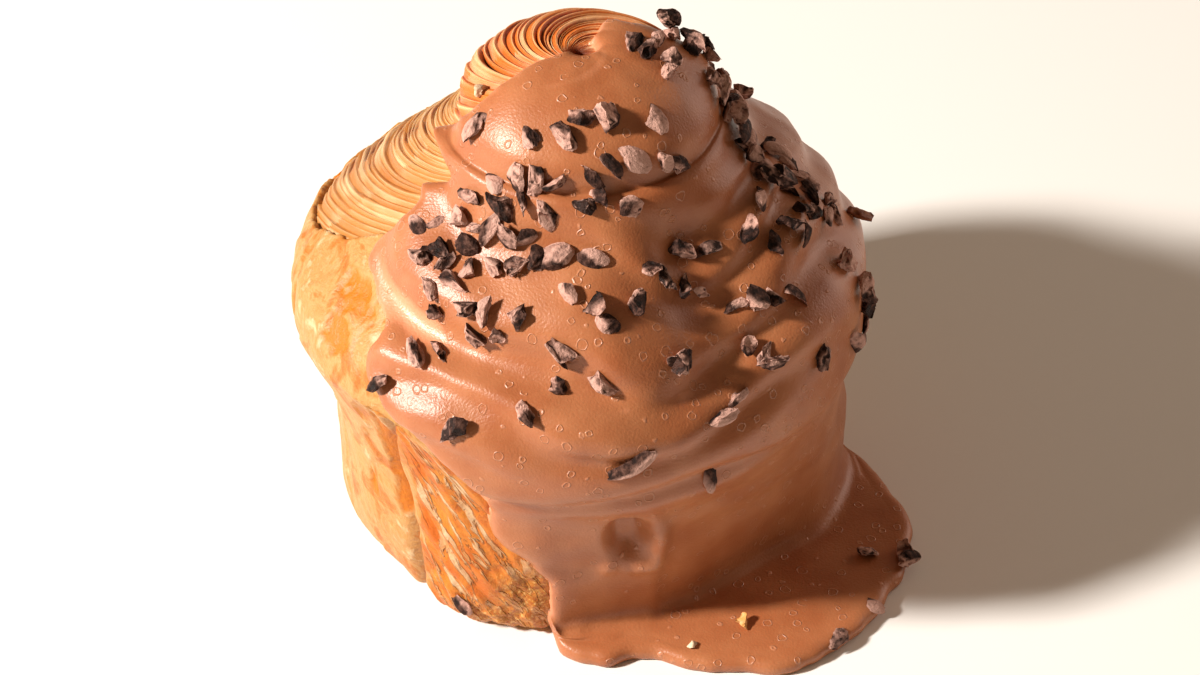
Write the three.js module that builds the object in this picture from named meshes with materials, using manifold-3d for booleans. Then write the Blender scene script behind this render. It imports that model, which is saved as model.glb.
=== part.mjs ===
// A tall laminated bun, coiled up from one sheet of dough, with milk chocolate
// sauce run over one side and cocoa nibs stuck in the sauce.
// Millimetres, +Z up. The origin is the middle of the flat base, -Y is the
// front. An azimuth is an angle about the bun's axis, 0 at +X, -90 at the front.
import * as THREE from 'three';
import { mergeVertices } from 'three/addons/utils/BufferGeometryUtils.js';
import Module from 'manifold-3d';

const wasm = await Module();
wasm.setup();

// ---- driving sizes ----
const BUN_HEIGHT = 79.4;
const KNOB_RADIUS = 16.4;
const RIM_RADIUS = 38.8;
const WALL_RADIUS = 35.2;
const BASE_RADIUS = 31;
const HOLE_RADIUS = 1.7;
const HOLE_DEPTH = 4;
const RIM_HEIGHT = 38;
const RIM_LEAN = -2.4;
const KNOB_LEAN = -0.7;
const FIT_GAP = 0.3;
const SAUCE_THICKNESS = 2.1;
const POOL_THICKNESS = 2.7;
const NIB_LENGTH = 4;

// ---- small maths ----
const DEGREES = Math.PI / 180;
const { clamp, lerp, smoothstep } = THREE.MathUtils;

// A bell-shaped bump, 1 at its middle and gone at about twice its width.
function bump(value, middle, width) {
  return Math.exp(-(((value - middle) / width) ** 2));
}

// The shortest turn from one azimuth to another, in degrees.
function turnBetween(from, to) {
  return THREE.MathUtils.euclideanModulo(to - from + 180, 360) - 180;
}

// The value at a key, read along straight lines between a table's rows.
function readAlong(rows, key) {
  const last = rows.length - 1;
  if (key <= rows[0][0]) return rows[0][1];
  if (key >= rows[last][0]) return rows[last][1];
  const upper = rows.findIndex((row) => row[0] > key);
  const [k0, v0] = rows[upper - 1];
  const [k1, v1] = rows[upper];
  return lerp(v0, v1, (key - k0) / (k1 - k0));
}

// The same small generator of chance for every random draw.
function makeChance(seed) {
  let state = seed;
  return (low, high) => {
    state = (state * 16807) % 2147483647;
    return low + (high - low) * (state / 2147483647);
  };
}

// ---- the bun's outline ----
// Radius and height from the hole in the middle of the top, over the knob, down
// the sloping tier to the overhanging rim, and in and down the wall to the base.
const OUTLINE = [
  [0, BUN_HEIGHT - HOLE_DEPTH],
  [HOLE_RADIUS - 0.5, BUN_HEIGHT - HOLE_DEPTH + 0.6],
  [HOLE_RADIUS, BUN_HEIGHT - 0.9],
  [HOLE_RADIUS + 1, BUN_HEIGHT],
  [8, BUN_HEIGHT - 0.6],
  [13, BUN_HEIGHT - 2.8],
  [KNOB_RADIUS, 72.8],
  [KNOB_RADIUS, 69.3],
  [17.8, 66.6],
  [22.6, 62],
  [28.8, 56],
  [34, 50],
  [38, 44.8],
  [RIM_RADIUS, RIM_HEIGHT],
  [37.6, 32.5],
  [36, 28.5],
  [WALL_RADIUS, 23],
  [WALL_RADIUS, 6],
  [34, 1.6],
  [BASE_RADIUS, 0],
];
const OUTLINE_STEP = 0.25;
const LAYER_SLOPE = Math.tan(30 * DEGREES);

// Steps along the smoothed outline: radius, height, outward normal, and how far
// the layers have wound round the axis on their way down.
function traceOutline() {
  const corners = OUTLINE.map(([radius, height]) => new THREE.Vector3(radius, 0, height));
  const curve = new THREE.CatmullRomCurve3(corners, false, 'centripetal');
  const count = Math.round(curve.getLength() / OUTLINE_STEP);
  const points = curve.getSpacedPoints(count);
  const steps = [];
  let wound = 0;
  points.forEach((point, index) => {
    const before = points[Math.max(index - 1, 0)];
    const after = points[Math.min(index + 1, count)];
    const along = after.clone().sub(before).normalize();
    const atAxis = index === 0;
    wound += OUTLINE_STEP / (LAYER_SLOPE * Math.max(point.x, HOLE_RADIUS));
    steps.push({
      radius: atAxis ? 0 : point.x,
      height: point.z,
      outward: atAxis ? 0 : -along.z,
      upward: atAxis ? 1 : along.x,
      wound,
    });
  });
  return steps;
}

const outlineSteps = traceOutline();
const knobTopStep = outlineSteps.findIndex((step) => step.radius > HOLE_RADIUS + 1);

// Rows of a body, closer together on the knob than on the wall.
function chooseRows(knobSpacing, tierSpacing, wallSpacing) {
  const rows = [];
  let distance = 0;
  while (distance < outlineSteps.length) {
    const step = Math.round(distance);
    rows.push(step);
    const height = outlineSteps[Math.min(step, outlineSteps.length - 1)].height;
    let spacing = wallSpacing;
    if (height > 40) spacing = tierSpacing;
    if (height > 65) spacing = knobSpacing;
    distance += spacing / OUTLINE_STEP;
  }
  rows[rows.length - 1] = outlineSteps.length - 1;
  return rows;
}

// How far the wall draws in at the floor, round the azimuth. It is full again at
// the height of TUCK_TOP.
const TUCK_TOP = 33;
const FOOT_TUCK = [
  [-150, 0], [-137, 1.2], [-116, 2], [-101, 3], [-94, 5.5], [-87, 7], [-71, 8.3], [-60, 9.2],
  [-50, 9.3], [-36, 8], [-28, 5.5], [-20, 3], [-10, 1.6], [5, 0],
];
function tuckedIn(height, azimuth) {
  return readAlong(FOOT_TUCK, turnBetween(0, azimuth)) * clamp(1 - height / TUCK_TOP, 0, 1);
}

// A point on the outline turned to an azimuth and moved out along its normal.
// The rim and the knob lean to one side, and the rim's lower edge climbs there.
const LIFT_AZIMUTH = -135;
function placeOnBun(step, azimuth, offset) {
  const { radius, height, outward, upward } = step;
  const turned = azimuth * DEGREES;
  const drawn = radius > 0 ? tuckedIn(height, azimuth) : 0;
  const reach = radius + outward * offset - drawn;
  const lean = RIM_LEAN * bump(height, RIM_HEIGHT + 1, 13) + KNOB_LEAN * smoothstep(height, 60, 68);
  const lift = 5 * bump(turnBetween(LIFT_AZIMUTH, azimuth), 0, 20) * bump(height, 33, 6);
  return new THREE.Vector3(
    lean + reach * Math.cos(turned),
    reach * Math.sin(turned),
    height + upward * offset + lift,
  );
}

// ---- relief of the dough ----
const TIER_LAYERS = 12;
const KNOB_LAYERS = 5;
const SKIN_STEP = 0.7;
const HOLLOW_AZIMUTH = -80;
const HOLLOW_HEIGHT = 22;
const FLAP_AZIMUTH = -148;
const CREASE_AZIMUTH = -65;
const NECK_FILL = 1.3;
const TUCK_AZIMUTH = -149;
const WAIST_AZIMUTH = 25;
const SEAMS = [
  { azimuth: -132.5, depth: 1.3 },
  { azimuth: 152, depth: 1 },
  { azimuth: 82, depth: 1.2 },
  { azimuth: 28, depth: 0.9 },
];

// Height at which the outer sheet ends and the cut layers of the coil begin.
function skinTop(azimuth) {
  return 47 + 11 * bump(turnBetween(FLAP_AZIMUTH, azimuth), 0, 26);
}

// Layers of the coil stand out as ridges that climb round the knob and the tier,
// and the outer sheet stands a little proud of them below its top edge.
function layerRelief(step, azimuth) {
  const { height, radius, wound } = step;
  const wind = azimuth * DEGREES + wound;
  const edge = skinTop(azimuth);
  const onTier = smoothstep(height, edge - 2, edge + 2) * (1 - smoothstep(height, 63, 66));
  const onKnob = smoothstep(height, 68, 71) * smoothstep(radius, HOLE_RADIUS + 1, 6);
  const ridges = 0.6 * onTier * Math.sin(TIER_LAYERS * wind) + 0.4 * onKnob * Math.sin(KNOB_LAYERS * wind);
  return ridges - SKIN_STEP * smoothstep(height, edge - 1, edge + 2) * (1 - smoothstep(height, 56, 66));
}

// Below the rim the outer sheet lies in broad panels with a seam between them,
// a hollow in the front and a tuck under the base at the left.
function wallRelief(step, azimuth) {
  const onWall = 1 - smoothstep(step.height, 30, 40);
  let relief = 0;
  for (const seam of SEAMS) {
    const past = turnBetween(seam.azimuth, azimuth);
    relief -= seam.depth * bump(past, 0, 4);
    relief += 1.2 * bump(past, 15, 11) * bump(step.height, 14, 16);
  }
  relief -= 1.8 * bump(turnBetween(HOLLOW_AZIMUTH, azimuth), 0, 9) * bump(step.height, HOLLOW_HEIGHT, 7);
  relief -= 1.4 * bump(turnBetween(TUCK_AZIMUTH, azimuth), 0, 13) * bump(step.height, 2, 6);
  return relief * onWall;
}

// The tier is drawn in a little on the side away from the rim's lean.
function waist(step, azimuth) {
  return -1.4 * bump(turnBetween(WAIST_AZIMUTH, azimuth), 0, 50) * bump(step.height, 63, 7);
}

// ---- closed bodies ----
// A lathe turned from the outline's rows, each vertex then moved to its place,
// with a flat base at the height of the floor. The rows run downwards, so the
// columns run clockwise, which keeps the faces pointing out.
function turnBody({ rows, columns, floor, offsetAtAxis, offsetAt }) {
  const profile = rows.map((row) => new THREE.Vector2(outlineSteps[row].radius, outlineSteps[row].height));
  profile.push(new THREE.Vector2(0, 0));
  const geometry = new THREE.LatheGeometry(profile, columns);
  const { position, uv } = geometry.attributes;
  const axisStep = { radius: 0, height: 0, outward: 0, upward: 0 };
  for (let index = 0; index < position.count; index += 1) {
    const row = Math.round(uv.getY(index) * (profile.length - 1));
    const azimuth = -(Math.round(uv.getX(index) * columns) % columns) * (360 / columns);
    const step = row < rows.length ? outlineSteps[rows[row]] : axisStep;
    const offset = step.radius > 0 ? offsetAt(step, azimuth) : offsetAtAxis;
    const { x, y, z } = placeOnBun(step, azimuth, offset);
    const onBase = row >= rows.length - 1;
    position.setXYZ(index, x, y, onBase ? floor : Math.max(z, floor));
  }
  return geometry;
}

// A manifold solid of a closed geometry, its faces pointing out.
function toSolid(geometry) {
  geometry.deleteAttribute('normal');
  geometry.deleteAttribute('uv');
  const merged = mergeVertices(geometry, 1e-4);
  const triVerts = new Uint32Array(merged.index.array);
  const kept = [];
  for (let corner = 0; corner < triVerts.length; corner += 3) {
    const [a, b, c] = triVerts.subarray(corner, corner + 3);
    if (a !== b && b !== c && c !== a) kept.push(a, b, c);
  }
  const mesh = new wasm.Mesh({
    numProp: 3,
    vertProperties: new Float32Array(merged.attributes.position.array),
    triVerts: new Uint32Array(kept),
  });
  return new wasm.Manifold(mesh);
}

// The triangles of a solid as a geometry.
function toGeometry(solid) {
  const mesh = solid.getMesh();
  const geometry = new THREE.BufferGeometry();
  geometry.setAttribute('position', new THREE.BufferAttribute(mesh.vertProperties, 3));
  geometry.setIndex(new THREE.BufferAttribute(mesh.triVerts, 1));
  return geometry;
}

// ---- the dough ----
const doughRows = chooseRows(2.3, 3, 4.6);
const DOUGH_COLUMNS = 56;

function makeDough(grow) {
  return turnBody({
    rows: doughRows,
    columns: DOUGH_COLUMNS,
    floor: -grow,
    offsetAtAxis: grow,
    offsetAt: (step, azimuth) => (
      layerRelief(step, azimuth) + wallRelief(step, azimuth) + waist(step, azimuth) + grow
    ),
  });
}

// ---- where the sauce lies ----
// Height and azimuth of the sauce's two edges: the left one runs down the side
// that shows, the other lies out of sight just round the right-hand side.
const LEFT_EDGE = [
  [0, -96], [9, -101], [14, -99], [21, -110], [35, -112], [39, -124], [46, -137],
  [50, -139], [53, -155], [62, -158], [65, -150], [67, -173], [70, -166], [75, -153], [78, -152],
];
const RIGHT_EDGE = [
  [0, 12], [10, 13], [20, 19], [30, 17], [40, 24], [46, 27], [51, 41], [56, 50], [62, 54],
  [67, 48], [70, 36], [74, 28], [77, 29], [78.2, 40], [79, 62],
];
const EDGE_SPREAD = 2.4;
const BARE_DEPTH = -2.4;

// How far a place lies inside the sauce's edge, in millimetres, less than 0 outside.
function insideSauce(step, azimuth) {
  const left = readAlong(LEFT_EDGE, step.height);
  const right = readAlong(RIGHT_EDGE, step.height);
  const middle = (left + right) / 2;
  const half = (right - left) / 2;
  const fromMiddle = Math.abs(turnBetween(middle, azimuth));
  const fromEdge = (half - fromMiddle) * DEGREES * step.radius;
  return Math.min(fromEdge, step.radius - HOLE_RADIUS - 0.6);
}

// Folds in the sauce: furrows over the coil's ledges, the crease under the rim
// and the hollow in the front with a ridge beside it.
const FURROWS = [
  { azimuth: -125, height: 51.5, fall: 0.06, depth: 1.5, half: 60 },
  { azimuth: -75, height: 61.5, fall: 0.09, depth: 1, half: 45 },
  { azimuth: -20, height: 52, fall: 0.1, depth: 1, half: 35 },
];
function sauceFolds(step, azimuth) {
  const { height } = step;
  let relief = 0;
  for (const furrow of FURROWS) {
    const past = turnBetween(furrow.azimuth, azimuth);
    const along = bump(past, 0, furrow.half);
    relief -= furrow.depth * along * bump(height, furrow.height - furrow.fall * past, 2.6);
  }
  const fromHollow = turnBetween(HOLLOW_AZIMUTH, azimuth);
  relief -= 2.8 * bump(fromHollow, 0, 7) * bump(height, HOLLOW_HEIGHT, 5.5);
  relief += 1.3 * bump(fromHollow, 9, 3) * bump(height, HOLLOW_HEIGHT - 4, 9);
  const crease = 31.5 + 4 * bump(turnBetween(CREASE_AZIMUTH, azimuth), 0, 22);
  relief -= 0.9 * bump(height, crease, 2.4);
  relief += NECK_FILL * bump(height, 67, 3.2);
  return relief;
}

function sauceOffset(step, azimuth) {
  const inside = insideSauce(step, azimuth);
  const cover = smoothstep(inside, -EDGE_SPREAD, EDGE_SPREAD);
  const thinned = SAUCE_THICKNESS - 0.8 * smoothstep(step.height, 70, 77);
  const full = thinned + sauceFolds(step, azimuth) + waist(step, azimuth);
  return lerp(BARE_DEPTH, full, cover);
}

const sauceRows = chooseRows(2.8, 3.2, 4);
const SAUCE_COLUMNS = 60;

// ---- the pool at the foot ----
// Azimuth and reach of the pool's rim from the bun's axis.
const POOL_RIM = [
  [-111, 27], [-102, 31.5], [-96, 35.6], [-88, 37], [-79, 36.8], [-65, 43], [-52, 48],
  [-36, 49.3], [-16, 48.4], [-8, 46.6], [-2, 43.8], [8, 38.8], [15, 34], [22, 27],
];
const POOL_COLUMNS = 72;
const POOL_SHARES = [1, 0.93, 0.82, 0.65, 0.5, 0.4, 0.3, 0.1];

function makePool() {
  const profile = [
    new THREE.Vector2(0, 0),
    new THREE.Vector2(1, 0),
    ...POOL_SHARES.map((share) => new THREE.Vector2(share, 1)),
    new THREE.Vector2(0, 1),
  ];
  const geometry = new THREE.LatheGeometry(profile, POOL_COLUMNS);
  const { position, uv } = geometry.attributes;
  for (let index = 0; index < position.count; index += 1) {
    const share = Math.hypot(position.getX(index), position.getZ(index));
    const onTop = position.getY(index) > 0.5;
    const column = Math.round(uv.getX(index) * POOL_COLUMNS) % POOL_COLUMNS;
    const azimuth = column * (360 / POOL_COLUMNS) - 180;
    const rim = readAlong(POOL_RIM, azimuth);
    const wall = WALL_RADIUS + SAUCE_THICKNESS - tuckedIn(POOL_THICKNESS, azimuth);
    const foot = Math.min(wall + 3, rim - 1.5);
    const reach = share > 0.5 ? lerp(foot, rim, 2 * share - 1) : foot * 2 * share;
    const toRim = clamp((rim - reach) / POOL_THICKNESS, 0, 1);
    const rounded = POOL_THICKNESS * Math.sqrt(1 - (1 - toRim) ** 2 * 0.88);
    const fillet = 3.2 * clamp(1 - (reach - wall) / 3, 0, 1) ** 2 * toRim;
    const x = reach * Math.cos(azimuth * DEGREES);
    const y = reach * Math.sin(azimuth * DEGREES);
    position.setXYZ(index, x, y, onTop ? rounded + fillet : 0);
  }
  return geometry;
}

// ---- cocoa nibs ----
// Patches of nibs: how many, round which azimuth and height, spread how far.
const NIB_PATCHES = [
  { count: 4, azimuth: 0, height: 77.6, turn: 14, rise: 0.5 },
  { count: 5, azimuth: -84, height: 75.3, turn: 36, rise: 1.3 },
  { count: 15, azimuth: -93, height: 67.6, turn: 46, rise: 2.6 },
  { count: 26, azimuth: -126, height: 58.4, turn: 26, rise: 4.2 },
  { count: 8, azimuth: -118, height: 52.2, turn: 13, rise: 2 },
  { count: 12, azimuth: -71, height: 57.5, turn: 25, rise: 5 },
  { count: 13, azimuth: 4, height: 69, turn: 17, rise: 6 },
  { count: 14, azimuth: 3, height: 58, turn: 22, rise: 5 },
  { count: 7, azimuth: -3, height: 45, turn: 16, rise: 6 },
  { count: 5, azimuth: -55, height: 48, turn: 14, rise: 4 },
  { count: 4, azimuth: -95, height: 50, turn: 12, rise: 4 },
  { count: 3, azimuth: -117, height: 43.5, turn: 14, rise: 2.5 },
  { count: 2, azimuth: -68, height: 34.5, turn: 12, rise: 2.5 },
];
const POOL_NIBS = [
  { azimuth: -32, reach: 46.5 }, { azimuth: -14, reach: 47 }, { azimuth: -43, reach: 46.5 },
  { azimuth: -12, reach: 42 }, { azimuth: -73, reach: 39 },
];
const NIB_CLEARANCE = 3.3;

// One nib: an angular chip, longer than wide, each corner pulled about by chance.
function makeNib(chance, place, normal) {
  const geometry = new THREE.BoxGeometry(1, 1, 1);
  geometry.deleteAttribute('normal');
  geometry.deleteAttribute('uv');
  const chip = mergeVertices(geometry, 1e-4);
  const length = NIB_LENGTH * chance(0.7, 1.2);
  const size = new THREE.Vector3(length, length * chance(0.55, 0.8), length * chance(0.45, 0.7));
  const facing = new THREE.Quaternion().setFromUnitVectors(new THREE.Vector3(0, 0, 1), normal);
  const spin = new THREE.Quaternion();
  spin.setFromEuler(new THREE.Euler(chance(-0.5, 0.5), chance(-0.5, 0.5), chance(-Math.PI, Math.PI)));
  const turn = facing.multiply(spin);
  const { position } = chip.attributes;
  for (let index = 0; index < position.count; index += 1) {
    const corner = new THREE.Vector3().fromBufferAttribute(position, index);
    corner.multiply(size).multiplyScalar(chance(0.55, 1.15)).applyQuaternion(turn);
    corner.add(place).addScaledVector(normal, size.z * 0.22);
    position.setXYZ(index, corner.x, corner.y, corner.z);
  }
  return toSolid(chip);
}

// The step of the outline at a height, outside the hole.
function stepAtHeight(height) {
  return outlineSteps.findIndex((step, index) => index > knobTopStep && step.height <= height);
}

function scatterNibs() {
  const chance = makeChance(4127);
  const places = [];
  for (const patch of NIB_PATCHES) {
    let tries = 0;
    let found = 0;
    while (found < patch.count && tries < 60 * patch.count) {
      tries += 1;
      const azimuth = patch.azimuth + patch.turn * chance(-1, 1);
      const height = patch.height + patch.rise * chance(-1, 1);
      const step = outlineSteps[stepAtHeight(height)];
      const place = placeOnBun(step, azimuth, sauceOffset(step, azimuth));
      const crowded = places.some((other) => other.place.distanceTo(place) < NIB_CLEARANCE);
      const onSauce = insideSauce(step, azimuth) > EDGE_SPREAD;
      if (!crowded && onSauce) {
        const out = placeOnBun(step, azimuth, 1).sub(placeOnBun(step, azimuth, 0)).normalize();
        places.push({ place, normal: out });
        found += 1;
      }
    }
  }
  for (const { azimuth, reach } of POOL_NIBS) {
    const turned = azimuth * DEGREES;
    const place = new THREE.Vector3(reach * Math.cos(turned), reach * Math.sin(turned), POOL_THICKNESS);
    places.push({ place, normal: new THREE.Vector3(0, 0, 1) });
  }
  return places.map(({ place, normal }) => makeNib(chance, place, normal));
}

// ---- the sauce with its nibs, cut clear of the dough ----
function makeSauce() {
  const coat = toSolid(turnBody({
    rows: sauceRows,
    columns: SAUCE_COLUMNS,
    floor: 0,
    offsetAtAxis: BARE_DEPTH,
    offsetAt: sauceOffset,
  }));
  const pool = toSolid(makePool());
  let sauce = coat.add(pool);
  for (const nib of scatterNibs()) {
    sauce = sauce.add(nib);
  }
  return sauce.subtract(toSolid(makeDough(FIT_GAP)));
}

// ---- the scene graph ----
const crust = new THREE.MeshStandardMaterial({ color: 0xe8a44e, roughness: 0.6, metalness: 0 });
const chocolate = new THREE.MeshStandardMaterial({ color: 0x8a5332, roughness: 0.35, metalness: 0 });

const doughMesh = new THREE.Mesh(toGeometry(toSolid(makeDough(0))), crust);
doughMesh.name = 'pastry';

const sauceMesh = new THREE.Mesh(toGeometry(makeSauce()), chocolate);
sauceMesh.name = 'chocolate_sauce';

const bun = new THREE.Group();
bun.add(doughMesh, sauceMesh);

export default bun;
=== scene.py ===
# A tall laminated bun, coiled up from one sheet of dough and baked in a ring, with
# milk chocolate sauce run over one side into a pool, and cocoa nibs stuck in it.
# Sizes are millimetres and every mesh is scaled to metres as it is finished. An
# azimuth is an angle about the bun's axis in degrees, 0 at +X and -90 at the front.
import bisect
import math

import bmesh
import bpy
from mathutils import Matrix, Vector, geometry, noise
from mathutils.bvhtree import BVHTree


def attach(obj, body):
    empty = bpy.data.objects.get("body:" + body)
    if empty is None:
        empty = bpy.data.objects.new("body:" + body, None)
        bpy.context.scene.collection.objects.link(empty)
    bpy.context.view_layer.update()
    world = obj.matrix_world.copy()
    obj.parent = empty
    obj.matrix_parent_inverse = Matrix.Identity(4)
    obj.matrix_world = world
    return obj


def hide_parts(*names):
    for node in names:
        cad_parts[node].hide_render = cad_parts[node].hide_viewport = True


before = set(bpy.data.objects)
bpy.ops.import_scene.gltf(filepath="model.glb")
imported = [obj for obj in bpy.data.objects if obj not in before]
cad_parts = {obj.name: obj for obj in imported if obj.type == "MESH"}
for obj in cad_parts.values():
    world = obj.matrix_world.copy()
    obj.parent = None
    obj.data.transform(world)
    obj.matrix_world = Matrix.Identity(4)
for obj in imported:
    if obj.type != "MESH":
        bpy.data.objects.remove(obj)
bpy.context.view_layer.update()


# ---- the bun's outline ----
# The real bun is one long strip of laminated dough, rolled up and drawn out into a
# round knob on top. Its outline runs from the hole in the middle of the knob, over
# the knob and down the sloping tier to the rim, then down the wall to the base.
METRES = 0.001
BUN_HEIGHT = 79.4
KNOB_RADIUS = 16.4
RIM_RADIUS = 38.8
RIM_HEIGHT = 38
WALL_RADIUS = 35.2
BASE_RADIUS = 31
HOLE_RADIUS = 1.7
HOLE_DEPTH = 4
RIM_LEAN = -2.4
KNOB_LEAN = -0.7
LIFT_AZIMUTH = -135
LIFT_HEIGHT = 33
LIFT_RISE = 5
# How far the wall has drawn in at the floor, round the azimuth. None is left at
# TUCK_TOP.
TUCK_TOP = 33
FOOT_TUCK = [
    (-150, 0), (-137, 1.2), (-116, 2), (-101, 3), (-94, 5.5), (-87, 7), (-71, 8.3), (-60, 9.2),
    (-50, 9.3), (-36, 8), (-28, 5.5), (-20, 3), (-10, 1.6), (5, 0),
]
LAYER_SLOPE = math.tan(math.radians(30))
OUTLINE = [
    (0, BUN_HEIGHT - HOLE_DEPTH),
    (HOLE_RADIUS - 0.5, BUN_HEIGHT - HOLE_DEPTH + 0.6),
    (HOLE_RADIUS, BUN_HEIGHT - 0.9),
    (HOLE_RADIUS + 1, BUN_HEIGHT),
    (8, BUN_HEIGHT - 0.6),
    (13, BUN_HEIGHT - 2.8),
    (KNOB_RADIUS, 72.8),
    (KNOB_RADIUS, 69.3),
    (17.8, 66.6),
    (22.6, 62),
    (28.8, 56),
    (34, 50),
    (38, 44.8),
    (RIM_RADIUS, RIM_HEIGHT),
    (37.6, 32.5),
    (36, 28.5),
    (WALL_RADIUS, 23),
    (WALL_RADIUS, 6),
    (34, 1.6),
    (BASE_RADIUS, 0),
]


def clamp(value, low=0.0, high=1.0):
    return max(low, min(high, value))


def lerp(a, b, share):
    return a + (b - a) * share


def smoothstep(value, low, high):
    share = clamp((value - low) / (high - low))
    return share * share * (3 - 2 * share)


def bump(value, middle, width):
    """A bell, 1 at its middle and gone at about twice its width."""
    return math.exp(-(((value - middle) / width) ** 2))


def turn_between(start, end):
    """The shortest turn from one azimuth to another."""
    return (end - start + 180) % 360 - 180


def rough(place, size, seed=0):
    """Smooth noise from about -1 to 1 whose lumps are size millimetres apart."""
    return noise.noise(Vector(place) / size + Vector((seed, 0, 7 * seed)))


class Row:
    """One ring of the outline: where it is, which way is out, and how far the
    layers of dough have wound round the axis on their way down to it."""

    def __init__(self, radius, height, outward, upward, wound, distance):
        self.radius = radius
        self.height = height
        self.outward = outward
        self.upward = upward
        self.wound = wound
        self.distance = distance


def smooth_line(corners, spacing):
    """Points close together on a smooth line through the corners."""
    points = [Vector((radius, height)) for radius, height in corners]
    line = [points[0]]
    for index in range(len(points) - 1):
        before = points[max(index - 1, 0)]
        start, end = points[index], points[index + 1]
        after = points[min(index + 2, len(points) - 1)]
        third = (end - start).length / 3
        handle_start = start + (end - before).normalized() * third
        handle_end = end - (after - start).normalized() * third
        count = max(2, round(3 * third / spacing))
        line += geometry.interpolate_bezier(start, handle_start, handle_end, end, count + 1)[1:]
    return line


def trace_rows(spacing):
    """Rows of the outline from the hole to the base, spacing millimetres apart."""
    fine = 0.1
    line = smooth_line(OUTLINE, fine)
    rows = []
    wound = distance = 0.0
    next_row = 0.0
    for index, point in enumerate(line):
        before, after = line[max(index - 1, 0)], line[min(index + 1, len(line) - 1)]
        step = (point - before).length
        distance += step
        if point.y > RIM_HEIGHT + 4:
            wound += step / (LAYER_SLOPE * max(point.x, HOLE_RADIUS))
        if distance >= next_row or index == len(line) - 1:
            along = (after - before).normalized()
            at_axis = index == 0
            rows.append(Row(
                0 if at_axis else point.x,
                point.y,
                0 if at_axis else -along.y,
                1 if at_axis else along.x,
                wound,
                distance,
            ))
            next_row = distance + spacing
    return rows


def read_along(table, key):
    """The value at a key, read along a smooth line through a table's rows."""
    key = clamp(key, table[0][0], table[-1][0])
    index = next(i for i in range(1, len(table)) if key <= table[i][0])
    (low, start), (high, end) = table[index - 1], table[index]
    (before, first), (after, last) = table[max(index - 2, 0)], table[min(index + 1, len(table) - 1)]
    share = (key - low) / (high - low)
    leave = (end - first) / (high - before) * (high - low)
    arrive = (last - start) / (after - low) * (high - low)
    curve = (2 * share - 3) * share * share + 1
    return (
        curve * start + (1 - curve) * end
        + share * (1 - share) * ((1 - share) * leave - share * arrive)
    )


def tucked_in(height, azimuth):
    """How far the wall draws in towards the floor, round the azimuth."""
    return read_along(FOOT_TUCK, turn_between(0, azimuth)) * clamp(1 - height / TUCK_TOP)


def place_on_bun(row, azimuth, offset):
    """A point of a row, turned to an azimuth and moved out. The rim and the knob
    lean to one side, and the rim's lower edge climbs there."""
    reach = row.radius + row.outward * offset
    if row.height < TUCK_TOP:
        reach -= tucked_in(row.height, azimuth)
    lean = RIM_LEAN * bump(row.height, RIM_HEIGHT + 1, 13)
    lean += KNOB_LEAN * smoothstep(row.height, 60, 68)
    lift = LIFT_RISE * bump(turn_between(LIFT_AZIMUTH, azimuth), 0, 20)
    lift *= bump(row.height, LIFT_HEIGHT, 6)
    turned = math.radians(azimuth)
    return Vector((
        lean + reach * math.cos(turned),
        reach * math.sin(turned),
        row.height + row.upward * offset + lift,
    ))


def azimuth_of(place):
    """The azimuth that a place lies at, from -180 to 180."""
    return turn_between(0, math.degrees(math.atan2(place.y, place.x)))


def spin_rows(outline, columns):
    """A closed body turned about the axis from (radius, height) points that start
    and end on it, and the ring that each vertex belongs to."""
    body = bmesh.new()
    ring = body.verts.layers.int.new("ring")
    line = [body.verts.new((radius, 0, height)) for radius, height in outline]
    for index, vert in enumerate(line):
        vert[ring] = index
    edges = [body.edges.new(pair) for pair in zip(line, line[1:])]
    bmesh.ops.spin(
        body, geom=line + edges, cent=(0, 0, 0), axis=(0, 0, 1), angle=math.tau,
        steps=columns, use_merge=True,
    )
    bmesh.ops.remove_doubles(body, verts=body.verts, dist=1e-5)
    bmesh.ops.recalc_face_normals(body, faces=body.faces)
    return body, ring


def finish_piece(body, name, material, smooth=True):
    """Turns a bmesh in millimetres into a piece in metres that rides on the bun."""
    bmesh.ops.scale(body, vec=(METRES,) * 3, verts=body.verts)
    for face in body.faces:
        face.smooth = smooth
    mesh = bpy.data.meshes.new(name)
    body.to_mesh(mesh)
    body.free()
    mesh.materials.append(material)
    piece = bpy.data.objects.new(name, mesh)
    bpy.context.scene.collection.objects.link(piece)
    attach(piece, "root")
    return piece


def hex_colour(text):
    """An sRGB hex colour as linear red, green, blue and alpha."""
    shares = [int(text[at:at + 2], 16) / 255 for at in (1, 3, 5)]
    linear = [s / 12.92 if s <= 0.04045 else ((s + 0.055) / 1.055) ** 2.4 for s in shares]
    return (*linear, 1.0)


def add_node(material, kind, inputs=None, stops=None, **settings):
    """Adds a node. Inputs are values or sockets, and stops are a ramp's colours, its
    two ends first."""
    tree = material.node_tree
    node = tree.nodes.new(kind)
    for name, value in settings.items():
        setattr(node, name, value)
    for name, value in (inputs or {}).items():
        if isinstance(value, bpy.types.NodeSocket):
            tree.links.new(value, node.inputs[name])
        else:
            node.inputs[name].default_value = value
    for index, (position, colour) in enumerate(stops or []):
        elements = node.color_ramp.elements
        element = elements[index] if index < 2 else elements.new(position)
        element.position = position
        element.color = hex_colour(colour)
    return node


def start_material(name):
    """A material with an empty Principled shader, and that shader."""
    material = bpy.data.materials.new(name)
    material.use_nodes = True
    return material, material.node_tree.nodes["Principled BSDF"]


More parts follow.
